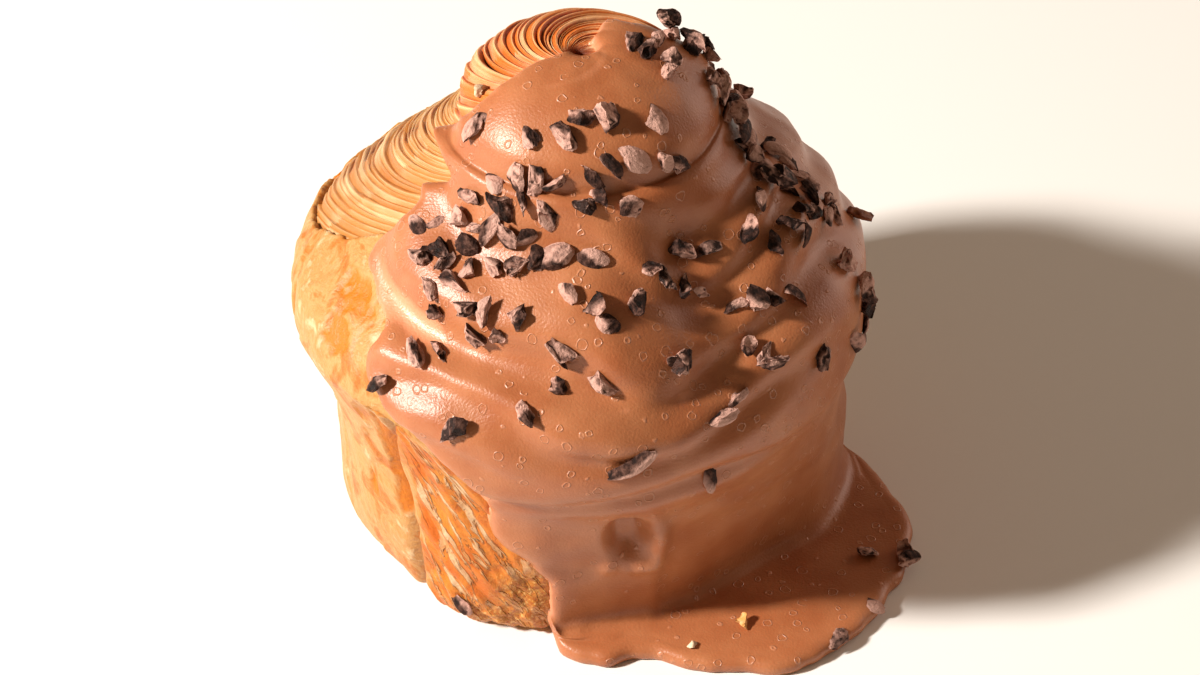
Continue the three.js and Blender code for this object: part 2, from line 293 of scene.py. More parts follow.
# ---- the pastry ----
# The baked bun: a smooth golden outer sheet up the wall, and above it the cut edges
# of more than a hundred leaves of buttery dough that wind up the tier and round the
# knob. It was laminated, coiled, proved in a ring and baked until the leaves parted.
COIL_COLUMNS = 640
COIL_ROW_STEP = 0.45
COIL_FLOOR = 41
NECK_HEIGHT = 67.5
TIER_LAYERS = 112
KNOB_LAYERS = 30
TIER_RELIEF = 0.34
KNOB_RELIEF = 0.38
CLEFT_DEPTH = 1.1
SHEET_COLUMNS = 600
SHEET_ROWS = 104
SKIN_TOP = 47
# The coil lies this far behind the sheet's face, less and less between two heights.
SKIN_STEP = 0.8
STEP_FADE = (56, 66)
HOLLOW_AZIMUTH = -80
HOLLOW_HEIGHT = 22
HOLLOW_DEPTH = 3.2
DENT_AZIMUTH = -149
DENT_DEPTH = 1.4
WAIST_AZIMUTH = 25
WAIST_HEIGHT = 63
WAIST_DEPTH = 1.4
FLAP_AZIMUTH = -148
FLAP_RISE = 11
BACK_DIP_AZIMUTH = 148
BACK_DIP = 3.5
# Seams between the sheet's panels: azimuth and depth.
SEAMS = [(-134, 1.3), (152, 1.0), (82, 1.2), (28, 0.9)]
PANEL_SWELL = 1.2
FLAKY_FROM = -133
FLAKY_TO = -84
UV_CUT = 152
# Broad folds of the coil: azimuth, half width in degrees, and how far they swell.
COIL_FOLDS = [(-82, 15, 1.0), (-57, 13, -2.1), (-24, 14, 0.8)]
FLAKED_DEPTH = 0.45
# Where the top leaf of the sheet has flaked off: azimuth, height, and half its size
# round the bun and up it.
FLAKED_OFF = [
    (-152, 49.8, 4.2, 1.7), (-149, 45.6, 3.2, 2.0), (-130, 37.2, 3.4, 1.9), (-136.5, 25, 1.3, 9),
    (-147, 18.6, 1.0, 1.6), (-171, 40, 1.6, 3), (150, 46, 4, 3), (95, 40, 5, 3), (118, 22, 2, 5),
]


def streak(wind, along, layers, length, seed=0):
    """Noise drawn out along the layers: layers lumps round the bun, length long."""
    round_it = layers / math.tau
    return noise.noise(Vector((
        round_it * math.cos(wind) + seed, round_it * math.sin(wind), along / length + 3 * seed,
    )))


def layer_phase(row, azimuth, layers):
    """Which leaf of dough ends here, counted round the bun, and how far across it."""
    wind = math.radians(azimuth) + row.wound
    along = row.distance / LAYER_SLOPE
    drift = 1.3 * streak(wind, along, 0.12 * layers, 70, 4)
    uneven = 0.7 * streak(wind, along, 0.8 * layers, 55, 5)
    return layers * wind / math.tau + drift + uneven


def leaf_edge(share):
    """A leaf's edge across its width: a quick rise to a crest and a slow fall."""
    if share < 0.25:
        return math.sin(share / 0.25 * math.pi / 2)
    return 1 - (share - 0.25) / 0.75


def skin_top(azimuth):
    """How high the outer sheet reaches up the coil."""
    flap = FLAP_RISE * bump(turn_between(FLAP_AZIMUTH, azimuth), 0, 26)
    return SKIN_TOP + flap - BACK_DIP * bump(turn_between(BACK_DIP_AZIMUTH, azimuth), 0, 28)


def skin_step(height):
    """How far the coil lies behind the outer sheet's face."""
    return SKIN_STEP * (1 - smoothstep(height, *STEP_FADE))


def wall_relief(height, azimuth):
    """Seams between the sheet's broad panels, the hollow and a dent at the foot, and
    how close a place is to a seam's crease, which the sheet's colour darkens as
    painted shade."""
    relief = 0.0
    crease = 0.0
    for at, depth in SEAMS:
        at_height = at + 1.2 * math.sin(height / 6) + 6 * smoothstep(height, 26, 36)
        past = turn_between(at_height, azimuth)
        line = bump(past, 0, 2.2) if past < 0 else bump(past, 0, 0.9)
        relief -= depth * line
        relief += PANEL_SWELL * bump(past, 15, 11) * bump(height, 14, 16)
        crease = max(crease, bump(past, 0, 0.7))
    hollow = bump(turn_between(HOLLOW_AZIMUTH, azimuth), 0, 9) * bump(height, HOLLOW_HEIGHT, 7)
    dent = bump(turn_between(DENT_AZIMUTH, azimuth), 0, 13) * bump(height, 2, 6)
    relief -= HOLLOW_DEPTH * hollow + DENT_DEPTH * dent
    on_wall = 1 - smoothstep(height, 32, 39)
    return relief * on_wall, crease * on_wall


def broad_form(height, azimuth):
    """The tier's broad folds and the waist under the knob, in the dough and the sauce."""
    swell = sum(high * bump(turn_between(at, azimuth), 0, half) for at, half, high in COIL_FOLDS)
    folds = swell * smoothstep(height, 40, 47) * (1 - smoothstep(height, 61, 66))
    waist = bump(turn_between(WAIST_AZIMUTH, azimuth), 0, 50) * bump(height, WAIST_HEIGHT, 7)
    return folds - WAIST_DEPTH * waist


def coil_surface(row, azimuth):
    """Offset of the cut leaves from the outline, and how deep in a cleft or in the
    knob's hole a place is, which the leaves' colour darkens as painted shade.
    """
    place = place_on_bun(row, azimuth, 0)
    on_knob = row.height > NECK_HEIGHT
    layers = KNOB_LAYERS if on_knob else TIER_LAYERS
    phase = layer_phase(row, azimuth, layers)
    leaf = math.floor(phase) % layers
    wind = math.radians(azimuth) + row.wound
    along = row.distance / LAYER_SLOPE
    crest = leaf_edge(phase % 1.0)
    level = noise.noise(Vector((7.31 * leaf, along / 26, 10)))
    fine = streak(wind, along, 150, 9, 6)
    cleft = smoothstep(streak(wind, along, 15, 13, 11), 0.16, 0.4) * (1 - crest) ** 2
    if on_knob:
        relief = KNOB_RELIEF * (crest - 0.5) + 0.45 * level + 0.08 * fine
    else:
        relief = TIER_RELIEF * (crest - 0.5) + 0.5 * level + 0.1 * fine + 0.25 * rough(place, 6, 3)
    relief -= CLEFT_DEPTH * cleft
    calm = smoothstep(row.radius, HOLE_RADIUS, HOLE_RADIUS + 3)
    under_sheet = smoothstep(skin_top(azimuth) - row.height, 0.2, 3)
    step = skin_step(row.height) + 2 * SKIN_STEP * under_sheet
    in_hole = 1 - smoothstep(row.radius, HOLE_RADIUS - 0.2, HOLE_RADIUS + 0.5)
    depth = max(clamp(cleft * 1.4 - 0.5 * level), in_hole)
    return relief * calm - step + broad_form(row.height, azimuth), depth


def sheet_surface(row, azimuth):
    """Offset of the outer sheet, then how flaky, flaked off, crumbled and creased."""
    place = place_on_bun(row, azimuth, 0)
    leaves = (2.4 * rough((place.x, place.y, place.z * 0.6), 12, 12) + 0.4 * rough(place, 4, 13)) % 1.0
    relief = 0.28 * (smoothstep(leaves, 0, 0.08) - leaves) + 0.35 * rough(place, 9, 14)
    relief += 0.13 * rough(place, 3, 15)
    around = math.radians(azimuth) * WALL_RADIUS
    flaky = smoothstep(azimuth, FLAKY_FROM, FLAKY_FROM + 5)
    flaky *= 1 - smoothstep(azimuth, FLAKY_TO, FLAKY_TO + 10)
    flaky *= 1 - smoothstep(row.height, 33, 37)
    across, along = 0.86 * around + 0.5 * row.height, 0.86 * row.height - 0.5 * around
    strand = noise.noise(Vector((across / 2.1, along / 11, 17)))
    strand += 0.5 * noise.noise(Vector((across / 0.9, along / 5, 18)))
    relief += (0.12 + 0.5 * flaky) * strand
    in_folds = bump(turn_between(-127, azimuth), 0, 10) * bump(row.height, 38.5, 2.4)
    relief += 0.5 * in_folds * ((row.height + 0.1 * (azimuth + 127)) / 1.1 % 1.0)
    crumb = (1 - smoothstep(row.height, 4, 8)) * bump(azimuth, -110, 13)
    crumb = clamp(1.3 * max(crumb, bump(math.hypot((azimuth + 103) * 0.6, row.height - 10), 0, 4.5)))
    relief += crumb * (0.4 * rough(place, 1.4, 20) + 0.25 * rough(place, 0.8, 21))
    flaked = 0.0
    ragged = 0.5 * rough(place, 2.2, 22) + 0.25 * rough(place, 0.9, 23)
    for at, height, half_round, half_up in FLAKED_OFF:
        turned = math.radians(turn_between(at, azimuth)) * row.radius
        near = math.hypot(turned / half_round, (row.height - height) / half_up)
        if near < 2:
            flaked = max(flaked, smoothstep(1 + ragged - near, -0.08, 0.08))
    relief -= FLAKED_DEPTH * flaked
    wall, crease = wall_relief(row.height, azimuth)
    relief += wall + broad_form(row.height, azimuth)
    return relief, flaky, flaked, crumb, crease


def map_faces(body, name, place_of, whole_turn):
    """Gives a body a map: the pair that place_of finds for a face and each of its
    vertices, kept in one piece where the first of the pair starts again."""
    layer = body.loops.layers.uv.new(name)
    for face in body.faces:
        first = None
        for loop in face.loops:
            u, v = place_of(face, loop.vert)
            first = u if first is None else first
            loop[layer].uv = (u - whole_turn(face) * round((u - first) / whole_turn(face)), v)


coil_rows = [row for row in trace_rows(COIL_ROW_STEP) if row.height > COIL_FLOOR]
coil_end = [(24, COIL_FLOOR - 1), (0, COIL_FLOOR - 1)]
coil, coil_ring = spin_rows([(row.radius, row.height) for row in coil_rows] + coil_end, COIL_COLUMNS)
# The mask kept here only colours the leaves, as painted shade in each cleft and the knob's hole.
painted_cleft_shade = coil.verts.layers.float.new("cleft")
knobs = coil.verts.layers.float.new("knob")
neck_ring = sum(row.height > NECK_HEIGHT for row in coil_rows)
coil_phases = {}
for vert in coil.verts:
    row = coil_rows[min(vert[coil_ring], len(coil_rows) - 1)]
    azimuth = turn_between(0, math.degrees(math.atan2(vert.co.y, vert.co.x) - row.wound))
    vert[knobs] = smoothstep(row.height, NECK_HEIGHT - 0.6, NECK_HEIGHT + 0.6)
    for layers in (KNOB_LAYERS, TIER_LAYERS):
        if (layers == KNOB_LAYERS) == (vert[coil_ring] < neck_ring) or vert[coil_ring] == neck_ring:
            coil_phases[layers, vert] = (layer_phase(row, azimuth, layers), row.distance)
    if vert[coil_ring] < len(coil_rows):
        offset, vert[painted_cleft_shade] = coil_surface(row, azimuth)
        vert.co = place_on_bun(row, azimuth, offset if row.radius > 0 else 0)


def leaves_round(face):
    """How many leaves go round the bun where a face lies."""
    return KNOB_LAYERS if min(vert[coil_ring] for vert in face.verts) < neck_ring else TIER_LAYERS


map_faces(coil, "leaves", lambda face, vert: coil_phases[leaves_round(face), vert], leaves_round)

# The outer sheet's rows run from its ragged top edge, which is turned in under
# itself, to the base, so each column starts at its own height.
SIDE_TOP = 66
side_rows = [row for row in trace_rows(0) if row.height < SIDE_TOP]
# The edge's rows: how far below the top edge, and how they lie to the sheet's face.
EDGE_UNDER = [(4, -3.2), (0.7, -1.7), (0.15, -1.0), (0, -0.35)]
BASE_SHARES = (0.9, 0.6, 0.3, 0)


def side_row(key, value):
    """The row of the outline's side where a rising measure of it reaches a value."""
    return side_rows[min(bisect.bisect_left(side_rows, value, key=key), len(side_rows) - 1)]


# The inner rings stay where they start. The others only need their order here.
inner_rings = [(0, 37), (26, 37)]
edge_rings = [(30, 37.5 + 0.1 * step) for step in range(len(EDGE_UNDER))]
face_rings = [(WALL_RADIUS, 50 - 0.4 * step) for step in range(SHEET_ROWS)]
foot_rings = [(BASE_RADIUS * share, 0) for share in BASE_SHARES]
sheet, ring = spin_rows(inner_rings + edge_rings + face_rings + foot_rings, SHEET_COLUMNS)
SHEET_MARKS = ("flaky", "flaked", "crumb", "crease")
sheet_marks = [sheet.verts.layers.float.new(name) for name in SHEET_MARKS]
sheet_distance = sheet.verts.layers.float.new("distance")
sheet_azimuth = sheet.verts.layers.float.new("azimuth")
for vert in sheet.verts:
    azimuth = azimuth_of(vert.co)
    vert[sheet_azimuth] = azimuth
    index = vert[ring] - len(inner_rings)
    if index < 0:
        continue
    top = side_row(lambda row: -row.height, -skin_top(azimuth))
    place = place_on_bun(top, azimuth, 0)
    ragged = 0.9 * rough(place, 6, 24) + 0.55 * rough(place, 2, 25) + 0.3 * rough(place, 0.8, 26)
    edge = top.distance + ragged
    face_index = index - len(EDGE_UNDER)
    foot = side_rows[-1]
    if face_index < 0:
        under, depth = EDGE_UNDER[index]
        row = side_row(lambda row: row.distance, edge + under)
        offset, *values = sheet_surface(row, azimuth)
        vert.co = place_on_bun(row, azimuth, offset + depth)
    elif face_index < SHEET_ROWS:
        share = face_index / (SHEET_ROWS - 1)
        row = side_row(lambda row: row.distance, lerp(edge + 0.12, foot.distance, share))
        offset, *values = sheet_surface(row, azimuth)
        at_foot = face_index == SHEET_ROWS - 1
        vert.co = place_on_bun(row, azimuth, 0 if at_foot else offset)
        vert.co.z = 0 if at_foot else max(vert.co.z, 0)
    else:
        row, values = foot, (0, 0, 0, 0)
        vert.co = place_on_bun(foot, azimuth, 0) * BASE_SHARES[face_index - SHEET_ROWS]
    vert[sheet_distance] = row.distance
    for layer, value in zip(sheet_marks, values):
        vert[layer] = value
map_faces(
    sheet, "sheet",
    lambda face, vert: (math.radians(turn_between(UV_CUT + 180, vert[sheet_azimuth])) * WALL_RADIUS,
                        -vert[sheet_distance]),
    lambda face: math.tau * WALL_RADIUS,
)

# Cut leaves of butter puff pastry, baked: each leaf has a thin pale crest and a peachy
# gold face, and they are browner round the knob. The dark groove behind each crest,
# each cleft and the knob's hole are painted shade.
leaves, shader = start_material("cut leaves of butter puff pastry")
position = add_node(leaves, "ShaderNodeTexCoord").outputs["Object"]
leaf_map = add_node(leaves, "ShaderNodeUVMap", uv_map="leaves").outputs["UV"]
leaf_place = add_node(leaves, "ShaderNodeSeparateXYZ", {"Vector": leaf_map})
cleft = add_node(leaves, "ShaderNodeAttribute", attribute_name="cleft").outputs["Fac"]
knob = add_node(leaves, "ShaderNodeAttribute", attribute_name="knob").outputs["Fac"]
FIBRES_PER_LEAF = 3.0
FIBRE_MM = 5
DRIFTS_PER_LEAF = 0.77
DRIFT_MM = 11
FLECK_MM = 0.7
leaf_count = add_node(leaves, "ShaderNodeMath", {0: leaf_place.outputs["X"]}, operation="FLOOR")
leaf_share = add_node(leaves, "ShaderNodeMath", {0: leaf_place.outputs["X"]}, operation="FRACT")
fibre_across = add_node(leaves, "ShaderNodeMath", {0: leaf_place.outputs["X"], 1: FIBRES_PER_LEAF},
                        operation="MULTIPLY")
fibre_along = add_node(leaves, "ShaderNodeMath", {0: leaf_place.outputs["Y"], 1: FIBRE_MM},
                       operation="DIVIDE")
fibre_place = add_node(leaves, "ShaderNodeCombineXYZ", {
    "X": fibre_across.outputs[0], "Y": fibre_along.outputs[0],
})
fibres = add_node(leaves, "ShaderNodeTexNoise", {
    "Vector": fibre_place.outputs[0], "Scale": 1, "Detail": 3, "Roughness": 0.6,
})
flecks = add_node(leaves, "ShaderNodeTexNoise", {
    "Vector": position, "Scale": 1 / (FLECK_MM * METRES), "Detail": 3, "Roughness": 0.6,
})
drift_across = add_node(leaves, "ShaderNodeMath", {0: leaf_count.outputs[0], 1: DRIFTS_PER_LEAF},
                        operation="MULTIPLY")
drift_along = add_node(leaves, "ShaderNodeMath", {0: leaf_place.outputs["Y"], 1: DRIFT_MM},
                       operation="DIVIDE")
drift_place = add_node(leaves, "ShaderNodeCombineXYZ", {
    "X": drift_across.outputs[0], "Y": drift_along.outputs[0],
})
drift = add_node(leaves, "ShaderNodeTexNoise", {
    "Vector": drift_place.outputs[0], "Scale": 1, "Detail": 2,
})
ragged_share = add_node(leaves, "ShaderNodeMath", {0: fibres.outputs["Fac"], 1: 0.3, 2: -0.15},
                        operation="MULTIPLY_ADD")
across_leaf = add_node(leaves, "ShaderNodeMath", {0: leaf_share.outputs[0], 1: ragged_share.outputs[0]},
                       operation="ADD", use_clamp=True)
# The dark low end of both ramps, in the groove behind each crest, is painted shade.
tier_colour = add_node(leaves, "ShaderNodeValToRGB", {"Fac": across_leaf.outputs[0]}, stops=[
    (0.0, "#9c5518"), (1.0, "#b1702e"), (0.1, "#bb7c3e"), (0.22, "#c69d70"), (0.4, "#b27e4b"),
])
knob_colour = add_node(leaves, "ShaderNodeValToRGB", {"Fac": across_leaf.outputs[0]}, stops=[
    (0.0, "#86340f"), (1.0, "#c4591b"), (0.08, "#bf5f22"), (0.2, "#dfa878"), (0.36, "#ca6a26"),
])
both_colours = add_node(leaves, "ShaderNodeMix", {
    0: knob, 6: tier_colour.outputs[0], 7: knob_colour.outputs[0],
}, data_type="RGBA")
pale_share = add_node(leaves, "ShaderNodeMapRange", {
    "Value": drift.outputs["Fac"], "From Min": 0.52, "From Max": 0.64, "To Max": 0.7,
})
paled_colour = add_node(leaves, "ShaderNodeMix", {
    0: pale_share.outputs[0], 6: both_colours.outputs[2], 7: hex_colour("#d6b083"),
}, data_type="RGBA")
deep_share = add_node(leaves, "ShaderNodeMapRange", {
    "Value": drift.outputs["Fac"], "From Min": 0.47, "From Max": 0.34, "To Max": 0.6,
})
deep_colour = add_node(leaves, "ShaderNodeMix", {
    0: deep_share.outputs[0], 6: paled_colour.outputs[2], 7: hex_colour("#b0661f"),
}, data_type="RGBA")
# Painted shade: each cleft and the knob's hole are darkened to deep brown.
leaf_colour = add_node(leaves, "ShaderNodeMix", {
    0: cleft, 6: deep_colour.outputs[2], 7: hex_colour("#7d3510"),
}, data_type="RGBA")
leaf_height = add_node(leaves, "ShaderNodeMath", {
    0: fibres.outputs["Fac"], 1: 2.0, 2: flecks.outputs["Fac"],
}, operation="MULTIPLY_ADD")
leaf_bump = add_node(leaves, "ShaderNodeBump", {
    "Height": leaf_height.outputs[0], "Distance": 0.08 * METRES, "Strength": 1.0,
})
links = leaves.node_tree.links
links.new(leaf_colour.outputs[2], shader.inputs["Base Color"])
links.new(leaf_bump.outputs["Normal"], shader.inputs["Normal"])
shader.inputs["Roughness"].default_value = 0.5
shader.inputs["IOR"].default_value = 1.42
shader.inputs["Subsurface Weight"].default_value = 0.15
shader.inputs["Subsurface Radius"].default_value = (1.0, 0.5, 0.2)
shader.inputs["Subsurface Scale"].default_value = 1.2 * METRES

# The outer sheet of the same pastry, glazed with egg: a thin crisp skin in ragged
# cream flakes over deep orange on one panel, mottled and smoother on the others.
# The dark line down each seam's crease is painted shade.
crust, shader = start_material("glazed skin of butter puff pastry")
position = add_node(crust, "ShaderNodeTexCoord").outputs["Object"]
sheet_map = add_node(crust, "ShaderNodeUVMap", uv_map="sheet").outputs["UV"]
flaky, flaked, crumb, crease = (
    add_node(crust, "ShaderNodeAttribute", attribute_name=name).outputs["Fac"] for name in SHEET_MARKS
)
STRAND_WIDTH_MM = 1.5
STRAND_LENGTH_MM = 7
PATCH_MM = 5
SPECK_MM = 0.5
strand_across = add_node(crust, "ShaderNodeVectorMath", {
    0: sheet_map, 1: (0.86 / STRAND_WIDTH_MM, 0.5 / STRAND_WIDTH_MM, 0),
}, operation="DOT_PRODUCT")
strand_along = add_node(crust, "ShaderNodeVectorMath", {
    0: sheet_map, 1: (-0.5 / STRAND_LENGTH_MM, 0.86 / STRAND_LENGTH_MM, 0),
}, operation="DOT_PRODUCT")
strand_place = add_node(crust, "ShaderNodeCombineXYZ", {
    "X": strand_across.outputs["Value"], "Y": strand_along.outputs["Value"],
})
strands = add_node(crust, "ShaderNodeTexNoise", {
    "Vector": strand_place.outputs[0], "Scale": 1, "Detail": 4, "Roughness": 0.6, "Distortion": 0.5,
})
patches = add_node(crust, "ShaderNodeTexNoise", {
    "Vector": position, "Scale": 1 / (PATCH_MM * METRES), "Detail": 5, "Roughness": 0.62, "Distortion": 0.6,
})
specks = add_node(crust, "ShaderNodeTexNoise", {
    "Vector": position, "Scale": 1 / (SPECK_MM * METRES), "Detail": 3, "Roughness": 0.65,
})
mottled = add_node(crust, "ShaderNodeMath", {
    0: strands.outputs["Fac"], 1: 0.35, 2: patches.outputs["Fac"],
}, operation="MULTIPLY_ADD")
smooth_colour = add_node(crust, "ShaderNodeValToRGB", {"Fac": mottled.outputs[0]}, stops=[
    (0.46, "#a4560f"), (0.86, "#c4a57c"), (0.59, "#ac6d2c"), (0.68, "#b68750"), (0.76, "#ad7a40"),
])
flake = add_node(crust, "ShaderNodeMapRange", {
    "Value": strands.outputs["Fac"], "From Min": 0.52, "From Max": 0.59,
}, interpolation_type="SMOOTHSTEP")
under_colour = add_node(crust, "ShaderNodeValToRGB", {"Fac": patches.outputs["Fac"]}, stops=[
    (0.4, "#b65a08"), (0.62, "#c57a24"),
])
top_colour = add_node(crust, "ShaderNodeValToRGB", {"Fac": patches.outputs["Fac"]}, stops=[
    (0.4, "#b57b46"), (0.58, "#c6a580"),
])
flaky_colour = add_node(crust, "ShaderNodeMix", {
    0: flake.outputs[0], 6: under_colour.outputs[0], 7: top_colour.outputs[0],
}, data_type="RGBA")
skin_colour = add_node(crust, "ShaderNodeMix", {
    0: flaky, 6: smooth_colour.outputs[0], 7: flaky_colour.outputs[2],
}, data_type="RGBA")
flaked_colour = add_node(crust, "ShaderNodeMix", {
    0: flaked, 6: skin_colour.outputs[2], 7: hex_colour("#b9680f"),
}, data_type="RGBA")
crumb_colour = add_node(crust, "ShaderNodeValToRGB", {"Fac": specks.outputs["Fac"]}, stops=[
    (0.4, "#a9590f"), (0.72, "#e3bd80"), (0.56, "#bf7c2c"),
])
crumbled = add_node(crust, "ShaderNodeMix", {
    0: crumb, 6: flaked_colour.outputs[2], 7: crumb_colour.outputs[0],
}, data_type="RGBA")
# Painted shade: a dark brown line down the crease of each seam.
sheet_colour = add_node(crust, "ShaderNodeMix", {
    0: crease, 6: crumbled.outputs[2], 7: hex_colour("#7e3d12"),
}, data_type="RGBA")
flake_height = add_node(crust, "ShaderNodeMath", {0: flake.outputs[0], 1: flaky}, operation="MULTIPLY")
grain_height = add_node(crust, "ShaderNodeMath", {
    0: specks.outputs["Fac"], 1: 0.35, 2: flake_height.outputs[0],
}, operation="MULTIPLY_ADD")
patch_height = add_node(crust, "ShaderNodeMath", {
    0: patches.outputs["Fac"], 1: 1.6, 2: grain_height.outputs[0],
}, operation="MULTIPLY_ADD")
crust_bump = add_node(crust, "ShaderNodeBump", {
    "Height": patch_height.outputs[0], "Distance": 0.34 * METRES, "Strength": 1.0,
})
links = crust.node_tree.links
links.new(sheet_colour.outputs[2], shader.inputs["Base Color"])
links.new(crust_bump.outputs["Normal"], shader.inputs["Normal"])
shader.inputs["Roughness"].default_value = 0.46
shader.inputs["IOR"].default_value = 1.42
shader.inputs["Subsurface Weight"].default_value = 0.15
shader.inputs["Subsurface Radius"].default_value = (1.0, 0.5, 0.2)
shader.inputs["Subsurface Scale"].default_value = 1.5 * METRES

dough_trees = [BVHTree.FromBMesh(body) for body in (coil, sheet)]
for body, name, material in ((coil, "pastry_coil", leaves), (sheet, "outer_sheet", crust)):
    bmesh.ops.recalc_face_normals(body, faces=body.faces)
    dough = finish_piece(body, name, material)
    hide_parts("pastry")


# ---- the chocolate sauce ----
# Milk chocolate sauce spooned over the top while warm. It ran down the front and the
# right-hand side in soft folds, left a thin scalloped film at its edge, and gathered
# in a pool with a rounded rim, then set to a satin gloss with small burst bubbles.
SAUCE_COLUMNS = 400
SAUCE_ROW_STEP = 0.55
SAUCE_THICKNESS = 2.1
POOL_THICKNESS = 2.7
# Where the dough is bare, the body of the sauce runs this far under its face.
BARE_DEPTH = -2.4
EDGE_ROUND = 2.6
FILM_THICKNESS = 0.35
FOOT_HEIGHT = 12
# The sauce's left and right edges as height and azimuth, and the pool's rim as
# azimuth and radius.
LEFT_EDGE = [
    (0, -96), (5, -97), (9, -102), (12, -98.5), (16, -103), (21, -110), (34, -111),
    (38.5, -119), (42, -128), (46.5, -138), (50.5, -139), (53, -155), (57.5, -158.5),
    (61, -155), (62.5, -159), (65, -151), (67, -173), (70, -166), (74, -155), (78, -152),
]
RIGHT_EDGE = [
    (0, 12), (10, 13), (20, 19), (30, 17), (40, 24), (46, 27), (51, 41), (56, 50), (62, 54),
    (67, 48), (70, 36), (74, 28), (77, 29), (78.2, 40), (79, 62),
]
POOL_RIM = [
    (-111, 27), (-102, 31.5), (-96, 35.6), (-88, 37), (-79, 36.8), (-65, 43), (-52, 48),
    (-36, 49.3), (-16, 48.4), (-8, 46.6), (-2, 43.8), (8, 38.8), (15, 34), (22, 27),
]
# Furrows: azimuth and height of the middle, fall per degree, depth, half length.
FURROWS = [
    (-125, 51.5, 0.06, 1.5, 60), (-75, 61.5, 0.09, 1.0, 45), (-20, 52, 0.1, 1.0, 35),
]
CREASE_HEIGHT = 31.5
CREASE_AZIMUTH = -65
CREASE_RISE = 4
NECK_FILL = 1.9
LEDGE_SPACING = 7.5
LEDGE_RELIEF = 1.1
UNDER_RADIUS = 16
# The pool's rim parts from the bare foot between these two radii.
POOL_STARTS = (32, 36)
FILLET_RADIUS = 2.4
# A curve's handles reach this share of the way to its corner.
HANDLE_SHARE = 0.62
WALL_STEPS = 12
UNDER_SHARES = (0.3, 0.65, 1)
FOOT_OUTLINE = [(0, BASE_RADIUS), (1.6, 34), (6, WALL_RADIUS), (FOOT_HEIGHT, WALL_RADIUS)]


def inside_sauce(row, azimuth):
    """How far a place lies inside the sauce's edges, less than 0 outside them."""
    left = read_along(LEFT_EDGE, row.height)
    right = read_along(RIGHT_EDGE, row.height)
    past_middle = turn_between((left + right) / 2, azimuth)
    from_edge = math.radians((right - left) / 2 - abs(past_middle)) * row.radius
    edge = LEFT_EDGE if past_middle < 0 else RIGHT_EDGE
    turn = read_along(edge, row.height + 0.5) - read_along(edge, row.height - 0.5)
    slant = math.radians(turn) * row.radius * row.outward
    return min(from_edge / math.hypot(1, slant), row.radius - HOLE_RADIUS - 0.6)


def sauce_folds(height, azimuth, place):
    """Furrows over the coil's ledges, soft drapes, the crease under the rim, and the
    hollow in the front: a bowl with a pit in it, a ridge that hooks round its right
    side and its foot, and a small lump at its lower left."""
    relief = 0.0
    for at, middle, fall, depth, half in FURROWS:
        past = turn_between(at, azimuth)
        relief -= depth * bump(past, 0, half) * bump(height, middle - fall * past, 2.4)
    across = math.radians(turn_between(HOLLOW_AZIMUTH, azimuth)) * WALL_RADIUS
    up = height - HOLLOW_HEIGHT
    bowl = 1 - smoothstep(math.hypot(across / 3.4, up / 5.2), 0.4, 1.2)
    pit = bump(math.hypot(across - 0.6, (up - 3) * 1.6), 0, 2)
    ridge = bump(across, 4.7 - 0.012 * (up + 3) ** 2, 1.4) * bump(up, -1, 7)
    hook = bump(math.hypot((across - 2.4) / 2.6, (up + 7.4) / 1.7), 0, 1)
    lump = bump(math.hypot(across + 2.8, up + 6.5), 0, 1.8)
    relief += 1.7 * ridge + 1.3 * hook + lump - 2.8 * bowl - 1.2 * pit
    crease = CREASE_HEIGHT + CREASE_RISE * bump(azimuth, CREASE_AZIMUTH, 22)
    relief -= 1.0 * bump(height, crease, 1.5) * (1 - 0.5 * smoothstep(azimuth, -50, -10))
    relief += 0.5 * bump(height, crease + 3.5, 3)
    relief += NECK_FILL * bump(height, 67, 3.2)
    around = math.radians(azimuth) * 30
    slope = height + 0.16 * around
    drape = noise.noise(Vector((around / 15, slope / 5.5, 30)))
    ledge = (slope / LEDGE_SPACING + 0.9 * rough(place, 18, 37)) % 1.0
    shelf = smoothstep(ledge, 0, 0.35) * (1 - smoothstep(ledge, 0.45, 1.0))
    draped = smoothstep(height, 36, 44) * (1 - smoothstep(height, 62, 66))
    relief += 0.55 * drape * smoothstep(height, 6, 16) * (1 - 0.6 * smoothstep(height, 64, 72))
    relief += LEDGE_RELIEF * (shelf - 0.5) * draped
    relief += 0.14 * rough(place, 4, 31)
    return relief


def sauce_offset(row, azimuth):
    """Offset of the sauce's face from the bun's outline."""
    place = place_on_bun(row, azimuth, 0)
    lobes = 0.9 * rough(place, 5.5, 32) + 0.4 * rough(place, 2.4, 33)
    inside = inside_sauce(row, azimuth) + lobes
    film = 0.2 + 1.3 * rough(place, 5, 34) + 1.1 * (1 - smoothstep(row.height, 36, 46))
    in_film = inside + clamp(film, 0, 2.4)
    ground = -skin_step(row.height)
    ground *= smoothstep(row.height, skin_top(azimuth) - 0.3, skin_top(azimuth) + 1.2)
    under = lerp(BARE_DEPTH, ground, smoothstep(in_film, -1.2, 0.1))
    thin = FILM_THICKNESS * smoothstep(in_film, 0, 0.5)
    rise = clamp(inside / EDGE_ROUND)
    rounded = math.sqrt(1 - (1 - rise) ** 2)
    full = SAUCE_THICKNESS - 0.8 * smoothstep(row.height, 70, 77)
    full += sauce_folds(row.height, azimuth, place) + broad_form(row.height, azimuth)
    return under + thin + (full - FILM_THICKNESS - ground) * rounded


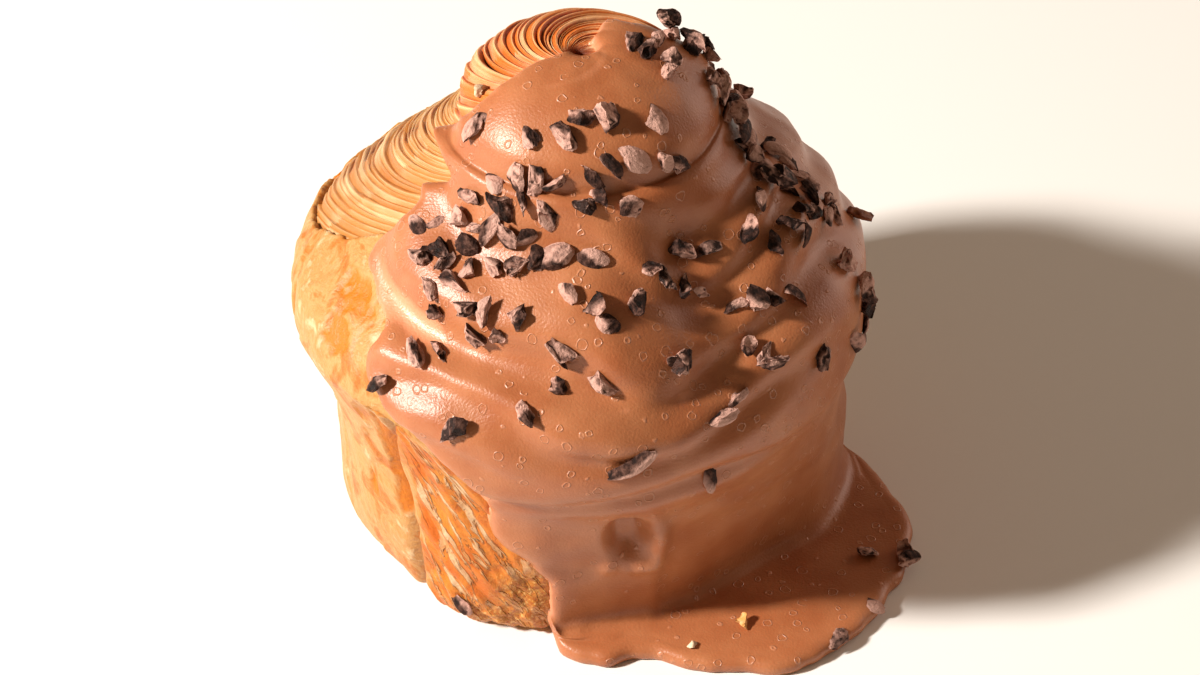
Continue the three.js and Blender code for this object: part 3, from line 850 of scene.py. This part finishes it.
def foot_profile(azimuth, offset):
    """Radius and height, evenly spaced, from the wall down to the floor and in under
    the bun, and where the sauce has pooled, down a fillet and over the pool's rim."""
    rim = read_along(POOL_RIM, azimuth)
    turned = math.radians(azimuth)
    out = Vector((math.cos(turned), math.sin(turned), 0)) * rim
    rim += (1.2 * rough(out, 7, 35) + 0.5 * rough(out, 3, 40)) * smoothstep(rim, 30, 36)
    wall_top = Vector((WALL_RADIUS + offset - tucked_in(FOOT_HEIGHT, azimuth), FOOT_HEIGHT))
    wall = WALL_RADIUS + offset - tucked_in(POOL_THICKNESS, azimuth)
    reach = max(rim - wall, 0)
    pool = smoothstep(rim, *POOL_STARTS)
    top = POOL_THICKNESS + 0.3 * rough(out, 12, 36)
    fillet = min(FILLET_RADIUS, 0.45 * reach) + 0.3
    edge = min(top, 0.9 * reach + 0.6)
    corner = Vector((wall, top))
    wall_foot = corner.lerp(wall_top, 1.5 * fillet / (FOOT_HEIGHT - top))
    pool_start = corner + Vector((fillet, 0))
    brink = Vector((max(wall + reach - edge, pool_start.x), top - 0.1 * fillet))
    nose = Vector((wall + reach, top * 0.42))
    under = Vector((wall + reach - 0.8, 0))
    outer, low = Vector((nose.x, top)), Vector((nose.x, 0))
    line = [wall_top.lerp(wall_foot, (step + 1) / WALL_STEPS) for step in range(WALL_STEPS)]
    for start, bend, end, count in (
        (wall_foot, corner, pool_start, 10), (pool_start, pool_start.lerp(brink, 0.5), brink, 20),
        (brink, outer, nose, 8), (nose, low, under, 4),
    ):
        line += geometry.interpolate_bezier(
            start, start.lerp(bend, HANDLE_SHARE), end.lerp(bend, HANDLE_SHARE), end, count + 1)[1:]
    line += [under.lerp(Vector((UNDER_RADIUS, 0)), share) for share in UNDER_SHARES]
    points = []
    for index, pooled in enumerate(line):
        down = FOOT_HEIGHT * (1 - (index + 1) / (len(line) - len(UNDER_SHARES)))
        bare = Vector((read_along(FOOT_OUTLINE, max(down, 0)) + offset, max(down, 0)))
        bare.x -= tucked_in(bare.y, azimuth)
        if down < 0:
            bare.x = lerp(bare.x, UNDER_RADIUS, min(-down, 1))
        points.append(bare.lerp(pooled, pool))
    return points


sauce_rows = [row for row in trace_rows(SAUCE_ROW_STEP) if row.height > FOOT_HEIGHT or row.distance < 20]
foot_count = len(foot_profile(0, 0))
foot_start = len(sauce_rows)
foot_line = [(WALL_RADIUS, FOOT_HEIGHT - 0.1 * step) for step in range(foot_count)] + [(0, 0)]
sauce, ring = spin_rows([(row.radius, row.height) for row in sauce_rows] + foot_line, SAUCE_COLUMNS)
foot_cache = {}
for vert in sauce.verts:
    azimuth = azimuth_of(vert.co)
    index = vert[ring]
    if index < foot_start:
        row = sauce_rows[index]
        offset = sauce_offset(row, azimuth) if row.radius > 0 else BARE_DEPTH
        vert.co = place_on_bun(row, azimuth, offset)
    elif index < foot_start + foot_count:
        key = round(azimuth * 100)
        if key not in foot_cache:
            row = sauce_rows[-1]
            foot_cache[key] = foot_profile(azimuth, sauce_offset(row, azimuth))
        radius, height = foot_cache[key][index - foot_start]
        turned = math.radians(azimuth)
        vert.co = Vector((radius * math.cos(turned), radius * math.sin(turned), height))

# The dough just under its face, coarse, which the sauce is cut back to.
CORE_COLUMNS = 72
CORE_ROW_STEP = 2.5
CORE_DEPTH = 1.3
CORE_BOTTOM = -5
core_rows = trace_rows(CORE_ROW_STEP)
core_line = [(row.radius, row.height) for row in core_rows] + [(0, CORE_BOTTOM)]
core, core_ring = spin_rows(core_line, CORE_COLUMNS)
for vert in core.verts:
    if vert[core_ring] < len(core_rows):
        row = core_rows[vert[core_ring]]
        azimuth = azimuth_of(vert.co)
        wall, _ = wall_relief(row.height, azimuth)
        step = skin_step(row.height) * smoothstep(row.height, SKIN_TOP, SKIN_TOP + 3)
        broad = wall + broad_form(row.height, azimuth)
        vert.co = place_on_bun(row, azimuth, broad - step - CORE_DEPTH)
        if vert[core_ring] == len(core_rows) - 1:
            vert.co.z = CORE_BOTTOM


def cut_by(body, tool):
    """The body less the tool, both closed, as a new bmesh."""
    objects = []
    for name, shape in (("body", body), ("tool", tool)):
        mesh = bpy.data.meshes.new(name)
        shape.to_mesh(mesh)
        shape.free()
        objects.append(bpy.data.objects.new(name, mesh))
        bpy.context.scene.collection.objects.link(objects[-1])
    whole, cutter = objects
    cut = whole.modifiers.new("cut", "BOOLEAN")
    cut.operation = "DIFFERENCE"
    cut.object = cutter
    cut.solver = "MANIFOLD"
    result = bmesh.new()
    result.from_object(whole, bpy.context.evaluated_depsgraph_get())
    for thing in objects:
        mesh = thing.data
        bpy.data.objects.remove(thing)
        bpy.data.meshes.remove(mesh)
    return result


sauce = cut_by(sauce, core)
bmesh.ops.remove_doubles(sauce, verts=sauce.verts, dist=1e-4)
sauce_tree = BVHTree.FromBMesh(sauce)

# How thick the sauce lies on the dough, as a share of its full thickness.
thicknesses = sauce.verts.layers.float.new("thickness")
for vert in sauce.verts:
    distance = min(tree.find_nearest(vert.co)[3] for tree in dough_trees)
    vert[thicknesses] = clamp(distance / SAUCE_THICKNESS)

# Milk chocolate sauce, set: cocoa and milk fat, smooth and close to opaque, a satin
# gloss. The film at its edge lets the dough shine through a little.
chocolate, shader = start_material("milk chocolate sauce")
position = add_node(chocolate, "ShaderNodeTexCoord").outputs["Object"]
thickness = add_node(chocolate, "ShaderNodeAttribute", attribute_name="thickness").outputs["Fac"]
BUBBLE_SPACING_MM = 2.2
RING_WIDTH = 0.06
WOBBLE_MM = 1.1
wobble = add_node(chocolate, "ShaderNodeTexNoise", {
    "Vector": position, "Scale": 1 / (WOBBLE_MM * METRES), "Detail": 1,
})
bubble_place = add_node(chocolate, "ShaderNodeVectorMath", {
    0: wobble.outputs["Color"], 1: (0.6 * METRES,) * 3, 2: position,
}, operation="MULTIPLY_ADD")
bubbles = add_node(chocolate, "ShaderNodeTexVoronoi", {
    "Vector": bubble_place.outputs[0], "Scale": 1 / (BUBBLE_SPACING_MM * METRES), "Randomness": 1.0,
})
bubble_kind = add_node(chocolate, "ShaderNodeSeparateColor", {"Color": bubbles.outputs["Color"]})
bubble_radius = add_node(chocolate, "ShaderNodeMapRange", {
    "Value": bubble_kind.outputs["Red"], "To Min": 0.17, "To Max": 0.34,
})
from_ring = add_node(chocolate, "ShaderNodeMath", {
    0: bubbles.outputs["Distance"], 1: bubble_radius.outputs[0],
}, operation="SUBTRACT")
ring_distance = add_node(chocolate, "ShaderNodeMath", {0: from_ring.outputs[0]}, operation="ABSOLUTE")
ring_line = add_node(chocolate, "ShaderNodeMapRange", {
    "Value": ring_distance.outputs[0], "From Min": 0.0, "From Max": RING_WIDTH,
    "To Min": 1.0, "To Max": 0.0,
}, interpolation_type="SMOOTHSTEP")
has_bubble = add_node(chocolate, "ShaderNodeMath", {0: bubble_kind.outputs["Green"], 1: 0.4},
                      operation="GREATER_THAN")
rings = add_node(chocolate, "ShaderNodeMath", {0: ring_line.outputs[0], 1: has_bubble.outputs[0]},
                 operation="MULTIPLY")
MOTTLE_MM = 7
mottle = add_node(chocolate, "ShaderNodeTexNoise", {
    "Vector": position, "Scale": 1 / (MOTTLE_MM * METRES), "Detail": 3, "Roughness": 0.5,
})
deep_colour = add_node(chocolate, "ShaderNodeValToRGB", {"Fac": mottle.outputs["Fac"]}, stops=[
    (0.3, "#9d5a35"), (0.7, "#b07049"),
])
ring_share = add_node(chocolate, "ShaderNodeMath", {0: rings.outputs[0], 1: 0.34}, operation="MULTIPLY")
ringed_colour = add_node(chocolate, "ShaderNodeMix", {
    0: ring_share.outputs[0], 6: deep_colour.outputs[0], 7: hex_colour("#d2997a"),
}, data_type="RGBA")
body_share = add_node(chocolate, "ShaderNodeMapRange", {
    "Value": thickness, "From Min": 0.08, "From Max": 0.45,
})
sauce_colour = add_node(chocolate, "ShaderNodeMix", {
    0: body_share.outputs[0], 6: hex_colour("#d28d68"), 7: ringed_colour.outputs[2],
}, data_type="RGBA")
SPECK_MM = 0.35
specks = add_node(chocolate, "ShaderNodeTexNoise", {
    "Vector": position, "Scale": 1 / (SPECK_MM * METRES), "Detail": 2,
})
surface_height = add_node(chocolate, "ShaderNodeMath", {
    0: specks.outputs["Fac"], 1: 0.8, 2: rings.outputs[0],
}, operation="MULTIPLY_ADD")
sauce_bump = add_node(chocolate, "ShaderNodeBump", {
    "Height": surface_height.outputs[0], "Distance": 0.1 * METRES, "Strength": 0.8,
})
links = chocolate.node_tree.links
links.new(sauce_colour.outputs[2], shader.inputs["Base Color"])
links.new(sauce_bump.outputs["Normal"], shader.inputs["Normal"])
shader.inputs["Roughness"].default_value = 0.37
shader.inputs["IOR"].default_value = 1.46
shader.inputs["Subsurface Weight"].default_value = 0.12
shader.inputs["Subsurface Radius"].default_value = (1.0, 0.45, 0.25)
shader.inputs["Subsurface Scale"].default_value = 1.2 * METRES

coat = finish_piece(sauce, "sauce_coat", chocolate)
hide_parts("chocolate_sauce")


# ---- the cocoa nibs ----
# Roasted cocoa beans cracked into chips of about 4 mm and scattered on the wet
# sauce: rough blocks, sharp shards and thin curved husks, dusty where they broke.

# They lie where the picture shows them, so its view comes first: what it looks at,
# how steeply it looks down, and its size and focal length in its own pixels.
AIM = Vector((1.8, 0, 28.5))
ELEVATION = math.radians(41)
CAMERA_DISTANCE = 600
PICTURE_MIDDLE = Vector((600, 337.5))
PICTURE_FOCAL = 4233
TO_CAMERA = Vector((0, -math.cos(ELEVATION), math.sin(ELEVATION)))
PICTURE_UP = Vector((0, math.sin(ELEVATION), math.cos(ELEVATION)))
# A look from the camera towards the food: how far short of the aim it sets out, how
# close counts as there, its shortest step, and how many it takes at most.
CAMERA_CLEAR = 70
CLOSEST_LOOK = 0.05
SHORTEST_STEP = 0.4
MOST_STEPS = 50
NIB_LENGTH = (3.4, 5.1)
NIB_SUNK = 0.45
NIB_LIFT = 1.2
NIB_TILT = 38
# Nibs lift each other where their middles come nearer than this share of their reach,
# by this share of the overlap, up to a most.
CROWD_REACH = 0.62
CROWD_LIFT = 0.7
MOST_CROWDED = 1.3
# Each trail of nibs: the pixels of its first and last nib, and how many it has.
NIB_TRAILS = [
    ((637, 38), (670, 56), 3), ((700, 40), (722, 54), 2), ((716, 74), (741, 125), 7),
    ((743, 137), (770, 174), 5), ((757, 127), (830, 195), 7), ((780, 182), (804, 189), 3),
    ((794, 221), (808, 233), 2), ((802, 207), (833, 213), 3), ((824, 203), (841, 211), 2),
    ((585, 112), (612, 116), 2), ((527, 140), (565, 131), 2), ((490, 176), (557, 186), 4),
    ((591, 178), (635, 160), 3), ((600, 192), (617, 182), 1), ((667, 160), (683, 166), 2),
    ((468, 198), (500, 206), 2), ((521, 206), (544, 214), 2), ((589, 206), (630, 213), 2),
    ((413, 222), (455, 220), 3), ((469, 226), (522, 239), 4), ((423, 253), (459, 243), 3),
    ((443, 263), (492, 270), 3), ((517, 265), (555, 257), 3), ((425, 287), (451, 283), 2),
    ((429, 312), (468, 305), 2), ((483, 314), (518, 316), 2), ((417, 351), (440, 347), 2),
    ((470, 338), (492, 343), 2), ((652, 271), (704, 293), 4), ((682, 244), (707, 248), 2),
    ((736, 303), (776, 295), 3), ((753, 227), (776, 240), 2), ((867, 284), (871, 322), 4),
    ((751, 346), (777, 362), 3), ((740, 399), (729, 417), 2), ((905, 550), (908, 558), 2),
]
LONE_NIBS = [
    (470, 128), (669, 71), (657, 114), (765, 194), (593, 259), (565, 287), (597, 303),
    (610, 325), (637, 300), (561, 352), (557, 383), (605, 388), (527, 413), (454, 429),
    (377, 381), (683, 358), (800, 293), (827, 358), (847, 260), (863, 344), (459, 611),
    (865, 549), (875, 601), (843, 638),
]
# Two that lie apart under the rim, a long curled husk and an upright oval one: pixel,
# kind, length, how slim, and the turn of its length from level. They are paler than
# most and lie flatter.
NIBS_APART = [((626, 467), "nib_husks", 9.5, 0.42, 27), ((713, 477), "nib_shards", 5.2, 1.0, 82)]
APART_TONE = 0.85
APART_LIFT = 0.6
APART_TILT = 8
# Those round the side that the picture doesn't show: how many, the azimuth and the
# height they lie about, and how far they spread round the bun and up it.
HIDDEN_NIBS = [(9, 24, 66, 16, 5), (5, 22, 52, 12, 5)]
# A kind's width and thickness in lengths, its cracks and scoops, its bend and how
# often it turns up.
NIB_KINDS = {
    "nib_blocks": (0.82, 0.66, 9, 2, 0.0, 0.5),
    "nib_shards": (0.55, 0.42, 7, 1, 0.1, 0.33),
    "nib_husks": (0.66, 0.2, 4, 0, 0.5, 0.17),
}


class Chance:
    """A small generator of chance that draws the same numbers every time."""

    def __init__(self, seed):
        self.state = seed

    def between(self, low, high):
        self.state = self.state * 16807 % 2147483647
        return low + (high - low) * self.state / 2147483647

    def direction(self):
        up = self.between(-1, 1)
        turned = self.between(0, math.tau)
        flat = math.sqrt(1 - up * up)
        return Vector((flat * math.cos(turned), flat * math.sin(turned), up))


def nearest_food(place):
    """The nearest point of the dough or the sauce, the way out and the distance."""
    found = [tree.find_nearest(place) for tree in (sauce_tree, *dough_trees)]
    at, out, _, gap = min(found, key=lambda hit: hit[3])
    return at, out, gap


def food_under(pixel, lift):
    """The point of the food that something lies on which shows at a pixel of the
    picture with its middle lifted by that much, and the way out of the food there."""
    across = (pixel[0] - PICTURE_MIDDLE.x) / PICTURE_FOCAL
    down = (pixel[1] - PICTURE_MIDDLE.y) / PICTURE_FOCAL
    along = (Vector((across, 0, 0)) - PICTURE_UP * down - TO_CAMERA).normalized()
    travelled = CAMERA_DISTANCE - CAMERA_CLEAR
    closest = None
    for _ in range(MOST_STEPS):
        at, out, gap = nearest_food(AIM + TO_CAMERA * CAMERA_DISTANCE + along * travelled)
        if closest is None or gap < closest[2]:
            closest = (at, out, gap)
        if gap < lift + CLOSEST_LOOK:
            break
        travelled += max(gap - lift, SHORTEST_STEP)
    return closest[:2]


def crack_nib(body, husk, chance, kind, length):
    """Adds a chip at the origin: a ball pressed flat against random cracks, scooped,
    drawn out to its kind's shape, bent and roughened, with the bean's husk on one
    side of it. Gives its vertices."""
    wide, thick, cracks, scoops, bend, _ = NIB_KINDS[kind]
    chip = bmesh.ops.create_icosphere(body, subdivisions=3, radius=1)["verts"]
    for _ in range(cracks):
        away = chance.direction()
        depth = chance.between(0.25, 0.62)
        for vert in chip:
            vert.co -= away * max(vert.co.dot(away) - depth, 0)
    for _ in range(scoops):
        middle = chance.direction() * chance.between(0.95, 1.15)
        reach = chance.between(0.55, 0.75)
        for vert in chip:
            past = vert.co - middle
            if past.length < reach:
                vert.co = middle + past.normalized() * reach
    husk_side = chance.direction()
    husk_start = chance.between(-0.35, 0.65)
    shift = chance.direction() * 50
    for vert in chip:
        vert[husk] = smoothstep(vert.co.dot(husk_side) - husk_start, -0.05, 0.05)
        vert.co += noise.noise_vector(vert.co * 2 + shift) * 0.13
        vert.co += noise.noise_vector(vert.co * 6 + shift) * 0.08
    spans = [max(abs(vert.co[axis]) for vert in chip) for axis in range(3)]
    for vert in chip:
        share = Vector([vert.co[axis] / spans[axis] for axis in range(3)])
        vert.co = Vector((share.x, share.y * wide, share.z * thick)) * length / 2
        vert.co.z -= bend * length / 2 * (share.x ** 2 + share.y ** 2) * 0.5
    return chip


# The middle of everything laid on the sauce so far, and how far it reaches.
laid_nibs = []


def lay_nib(chip, chance, at, out, length, tilt, level_turn=None):
    """Turns a chip about and lays it on the food, lifted where others crowd it."""
    turn = out.to_track_quat("Z", "Y").to_matrix()
    about = chance.between(0, math.tau) if level_turn is None else math.radians(level_turn)
    turn = turn @ Matrix.Rotation(about, 3, "Z")
    turn = turn @ Matrix.Rotation(math.radians(chance.between(-tilt, tilt)), 3, "X")
    for vert in chip:
        vert.co = turn @ vert.co
    lowest = min(vert.co.dot(out) for vert in chip)
    lift = -lowest - NIB_SUNK
    middle = at + out * lift
    crowding = 0.0
    for other, reach in laid_nibs:
        overlap = (reach + length / 2) * CROWD_REACH - (middle - other).length
        crowding += max(overlap, 0) * CROWD_LIFT
    middle = at + out * (lift + min(crowding, MOST_CROWDED))
    laid_nibs.append((middle, length / 2))
    for vert in chip:
        vert.co += middle
    sunk = min(vert.co.z for vert in chip)
    for vert in chip:
        vert.co.z -= min(sunk, 0)


# Blender's vector noise would otherwise start from the clock, and the chips would come
# out a little different each time.
NIB_SEED = 731
noise.seed_set(NIB_SEED)
chance = Chance(NIB_SEED)
nib_bodies = {kind: bmesh.new() for kind in NIB_KINDS}
tones = {kind: body.verts.layers.float.new("tone") for kind, body in nib_bodies.items()}
husks = {kind: body.verts.layers.float.new("husk") for kind, body in nib_bodies.items()}
nib_pixels = list(LONE_NIBS)
for start, end, count in NIB_TRAILS:
    for index in range(count):
        share = index / max(count - 1, 1)
        nib_pixels.append((
            lerp(start[0], end[0], share) + chance.between(-2, 2),
            lerp(start[1], end[1], share) + chance.between(-2, 2),
        ))
nib_places = [food_under(pixel, NIB_LIFT) for pixel in nib_pixels]
for count, azimuth, height, spread, rise in HIDDEN_NIBS:
    for _ in range(count):
        turned = math.radians(azimuth + chance.between(-spread, spread))
        level = height + chance.between(-rise, rise)
        outside = Vector((60 * math.cos(turned), 60 * math.sin(turned), level + 30))
        at, out, _, _ = sauce_tree.ray_cast(outside, Vector((-outside.x, -outside.y, -25)).normalized())
        nib_places.append((at, out))
for at, out in nib_places:
    draw = chance.between(0, 1)
    for kind in NIB_KINDS:
        draw -= NIB_KINDS[kind][5]
        if draw <= 0:
            break
    length = chance.between(*NIB_LENGTH) * (1.15 if kind != "nib_blocks" else 0.95)
    chip = crack_nib(nib_bodies[kind], husks[kind], chance, kind, length)
    tone = chance.between(0, 1)
    for vert in chip:
        vert[tones[kind]] = tone
    lay_nib(chip, chance, at, out, length, NIB_TILT)
for pixel, kind, length, slim, level_turn in NIBS_APART:
    chip = crack_nib(nib_bodies[kind], husks[kind], chance, kind, length)
    for vert in chip:
        vert[tones[kind]] = APART_TONE
        vert.co.y *= slim
    lay_nib(chip, chance, *food_under(pixel, APART_LIFT), length, APART_TILT, level_turn)

# Roasted cocoa bean, cracked: a near-black satin husk, and where it broke a matt
# purplish brown face under a grey-pink dusting. The paler sharp edges are painted
# highlight on top of that dusting, and the dark pits in the rough face are painted shade.
roasted, shader = start_material("cracked roasted cocoa bean")
position = add_node(roasted, "ShaderNodeTexCoord").outputs["Object"]
tone = add_node(roasted, "ShaderNodeAttribute", attribute_name="tone").outputs["Fac"]
edge = add_node(roasted, "ShaderNodeAttribute", attribute_name="edge").outputs["Fac"]
husk = add_node(roasted, "ShaderNodeAttribute", attribute_name="husk").outputs["Fac"]
CRUMBLE_MM = 0.9
POWDER_MM = 0.3
crumble = add_node(roasted, "ShaderNodeTexNoise", {
    "Vector": position, "Scale": 1 / (CRUMBLE_MM * METRES), "Detail": 3, "Roughness": 0.6,
})
powder = add_node(roasted, "ShaderNodeTexNoise", {
    "Vector": position, "Scale": 1 / (POWDER_MM * METRES), "Detail": 3, "Roughness": 0.7,
})
bean_colour = add_node(roasted, "ShaderNodeValToRGB", {"Fac": tone}, stops=[
    (0.08, "#2c1710"), (0.98, "#8e3d24"), (0.25, "#4a2c21"), (0.5, "#694336"), (0.88, "#82594b"),
])
# The dusting's share: the bean's own, mottled and toned per nib, plus painted highlight along the sharp
# edges.
dust_and_edge_highlight = add_node(roasted, "ShaderNodeMath", {
    0: edge, 1: 0.9, 2: crumble.outputs["Fac"],
}, operation="MULTIPLY_ADD")
toned_dust_and_edge_highlight = add_node(roasted, "ShaderNodeMath", {
    0: tone, 1: 0.55, 2: dust_and_edge_highlight.outputs[0],
}, operation="MULTIPLY_ADD")
dust_and_edge_highlight_share = add_node(roasted, "ShaderNodeMapRange", {
    "Value": toned_dust_and_edge_highlight.outputs[0], "From Min": 1.0, "From Max": 1.5,
})
# Painted shade: the low pits of the rough face are darkened to near black.
painted_pit_shade = add_node(roasted, "ShaderNodeMapRange", {
    "Value": crumble.outputs["Fac"], "From Min": 0.5, "From Max": 0.38, "To Max": 0.8,
})
pit_shaded_colour = add_node(roasted, "ShaderNodeMix", {
    0: painted_pit_shade.outputs[0], 6: bean_colour.outputs[0], 7: hex_colour("#22130e"),
}, data_type="RGBA")
nib_colour = add_node(roasted, "ShaderNodeMix", {
    0: dust_and_edge_highlight_share.outputs[0], 6: pit_shaded_colour.outputs[2], 7: hex_colour("#c29788"),
}, data_type="RGBA")
# The husk's sharp edges are lighter: painted highlight over its own mottle.
husk_mottle_and_edge_highlight = add_node(roasted, "ShaderNodeMath", {
    0: edge, 1: 0.25, 2: crumble.outputs["Fac"],
}, operation="MULTIPLY_ADD")
husk_colour = add_node(roasted, "ShaderNodeValToRGB", {"Fac": husk_mottle_and_edge_highlight.outputs[0]}, stops=[
    (0.48, "#180c08"), (0.85, "#64453a"), (0.64, "#311b14"),
])
chip_colour = add_node(roasted, "ShaderNodeMix", {
    0: husk, 6: nib_colour.outputs[2], 7: husk_colour.outputs[0],
}, data_type="RGBA")
nib_relief = add_node(roasted, "ShaderNodeMath", {
    0: crumble.outputs["Fac"], 1: 1.6, 2: powder.outputs["Fac"],
}, operation="MULTIPLY_ADD")
nib_bump = add_node(roasted, "ShaderNodeBump", {
    "Height": nib_relief.outputs[0], "Distance": 0.2 * METRES, "Strength": 1.0,
})
nib_gloss = add_node(roasted, "ShaderNodeMapRange", {
    "Value": toned_dust_and_edge_highlight.outputs[0], "From Min": 0.7, "From Max": 1.3, "To Min": 0.5, "To Max": 0.8,
})
links = roasted.node_tree.links
links.new(chip_colour.outputs[2], shader.inputs["Base Color"])
links.new(nib_bump.outputs["Normal"], shader.inputs["Normal"])
links.new(nib_gloss.outputs[0], shader.inputs["Roughness"])
shader.inputs["IOR"].default_value = 1.45
shader.inputs["Specular IOR Level"].default_value = 0.25

for kind, body in nib_bodies.items():
    bmesh.ops.recalc_face_normals(body, faces=body.faces)
    body.normal_update()
    # How far a vertex stands out from its neighbours, which the colour turns into painted highlight on
    # ridges and painted shade in hollows.
    edges = body.verts.layers.float.new("edge")
    for vert in body.verts:
        around = [link.other_vert(vert).co for link in vert.link_edges]
        middle = sum(around, Vector()) / len(around)
        span = sum((point - vert.co).length for point in around) / len(around)
        vert[edges] = clamp(0.5 + 1.6 * (vert.co - middle).dot(vert.normal) / span)
    nibs = finish_piece(body, kind, roasted, smooth=False)
    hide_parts("chocolate_sauce")


# ---- the crumbs ----
# Bits of the baked crust that broke off and stuck: two on the pool, a dark one at the
# right-hand side and a curl on the knob. Pixel, length and how pale.
CRUMBS = [
    ((743, 623), 2.7, 0.5), ((692, 644), 1.9, 0.95), ((857, 215), 4.4, 0.05), ((476, 93), 3.0, 0.75),
]
CRUMB_LIFT = 0.5
CRUMB_TILT = 20
crumbs = bmesh.new()
paleness = crumbs.verts.layers.float.new("paleness")
browned_side = crumbs.verts.layers.float.new("browned")
for pixel, length, pale in CRUMBS:
    at, out = food_under(pixel, CRUMB_LIFT)
    chip = crack_nib(crumbs, browned_side, chance, "nib_blocks", length)
    for vert in chip:
        vert[paleness] = pale
    lay_nib(chip, chance, at, out, length, CRUMB_TILT)
bmesh.ops.recalc_face_normals(crumbs, faces=crumbs.faces)

# Baked puff pastry, broken: flaky and golden, browner on the side that was outside.
baked, shader = start_material("broken bits of baked puff pastry")
position = add_node(baked, "ShaderNodeTexCoord").outputs["Object"]
pale = add_node(baked, "ShaderNodeAttribute", attribute_name="paleness").outputs["Fac"]
browned = add_node(baked, "ShaderNodeAttribute", attribute_name="browned").outputs["Fac"]
grain = add_node(baked, "ShaderNodeTexNoise", {
    "Vector": position, "Scale": 1 / (CRUMBLE_MM * METRES), "Detail": 3, "Roughness": 0.6,
})
pale_grain = add_node(baked, "ShaderNodeMath", {0: grain.outputs["Fac"], 1: 0.4, 2: pale},
                      operation="MULTIPLY_ADD")
crumb_colour = add_node(baked, "ShaderNodeValToRGB", {"Fac": pale_grain.outputs[0]}, stops=[
    (0.2, "#6a2c17"), (0.923, "#e9cfae"), (0.5, "#b9702c"), (0.7, "#d69a52"),
])
browned_share = add_node(baked, "ShaderNodeMath", {0: browned, 1: 0.4}, operation="MULTIPLY")
browned_colour = add_node(baked, "ShaderNodeMix", {
    0: browned_share.outputs[0], 6: crumb_colour.outputs[0], 7: hex_colour("#7d3d15"),
}, data_type="RGBA")
crumb_bump = add_node(baked, "ShaderNodeBump", {
    "Height": grain.outputs["Fac"], "Distance": 0.3 * METRES, "Strength": 0.9,
})
links = baked.node_tree.links
links.new(browned_colour.outputs[2], shader.inputs["Base Color"])
links.new(crumb_bump.outputs["Normal"], shader.inputs["Normal"])
shader.inputs["Roughness"].default_value = 0.6
crumb_piece = finish_piece(crumbs, "crust_crumbs", baked)
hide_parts("chocolate_sauce")


# ---- the floor, the light and the camera ----
# A plain pale floor, a small bright key from the left that casts the picture's clear
# shadows, and a broad dim light from the right.
floor_mesh = bpy.data.meshes.new("floor")
floor_shape = bmesh.new()
bmesh.ops.create_grid(floor_shape, x_segments=8, y_segments=8, size=3)
floor_shape.to_mesh(floor_mesh)
floor_shape.free()
floor = bpy.data.objects.new("floor", floor_mesh)
bpy.context.scene.collection.objects.link(floor)
plaster, shader = start_material("pale matt board")
shader.inputs["Base Color"].default_value = hex_colour("#f1efec")
shader.inputs["Roughness"].default_value = 0.8
floor_mesh.materials.append(plaster)


def add_light(name, towards, distance, size, energy, colour):
    """A square light that shines on the bun from a direction, its distance and size
    in metres."""
    lamp = bpy.data.lights.new(name, "AREA")
    lamp.size = size
    lamp.energy = energy
    lamp.color = hex_colour(colour)[:3]
    light = bpy.data.objects.new(name, lamp)
    light.location = AIM * METRES + Vector(towards).normalized() * distance
    light.rotation_mode = "QUATERNION"
    light.rotation_quaternion = (-Vector(towards)).to_track_quat("-Z", "Y")
    bpy.context.scene.collection.objects.link(light)


add_light("key", (-0.79, -0.26, 0.555), 1.0, 0.1, 21.5, "#fff8f0")
add_light("side_fill", (0.75, 0.45, 0.25), 1.1, 0.7, 4, "#ffe4d6")

world = bpy.data.worlds.new("studio")
world.use_nodes = True
world.node_tree.nodes["Background"].inputs["Color"].default_value = hex_colour("#ffe0ba")
world.node_tree.nodes["Background"].inputs["Strength"].default_value = 0.18
bpy.context.scene.world = world
bpy.context.scene.view_settings.view_transform = "Standard"

SENSOR_WIDTH = 36
lens = bpy.data.cameras.new("camera")
lens.sensor_width = SENSOR_WIDTH
lens.lens = SENSOR_WIDTH * PICTURE_FOCAL / (2 * PICTURE_MIDDLE.x)
camera = bpy.data.objects.new("camera", lens)
camera.location = (AIM + TO_CAMERA * CAMERA_DISTANCE) * METRES
camera.rotation_mode = "QUATERNION"
camera.rotation_quaternion = (-TO_CAMERA).to_track_quat("-Z", "Y")
bpy.context.scene.collection.objects.link(camera)
bpy.context.scene.camera = camera
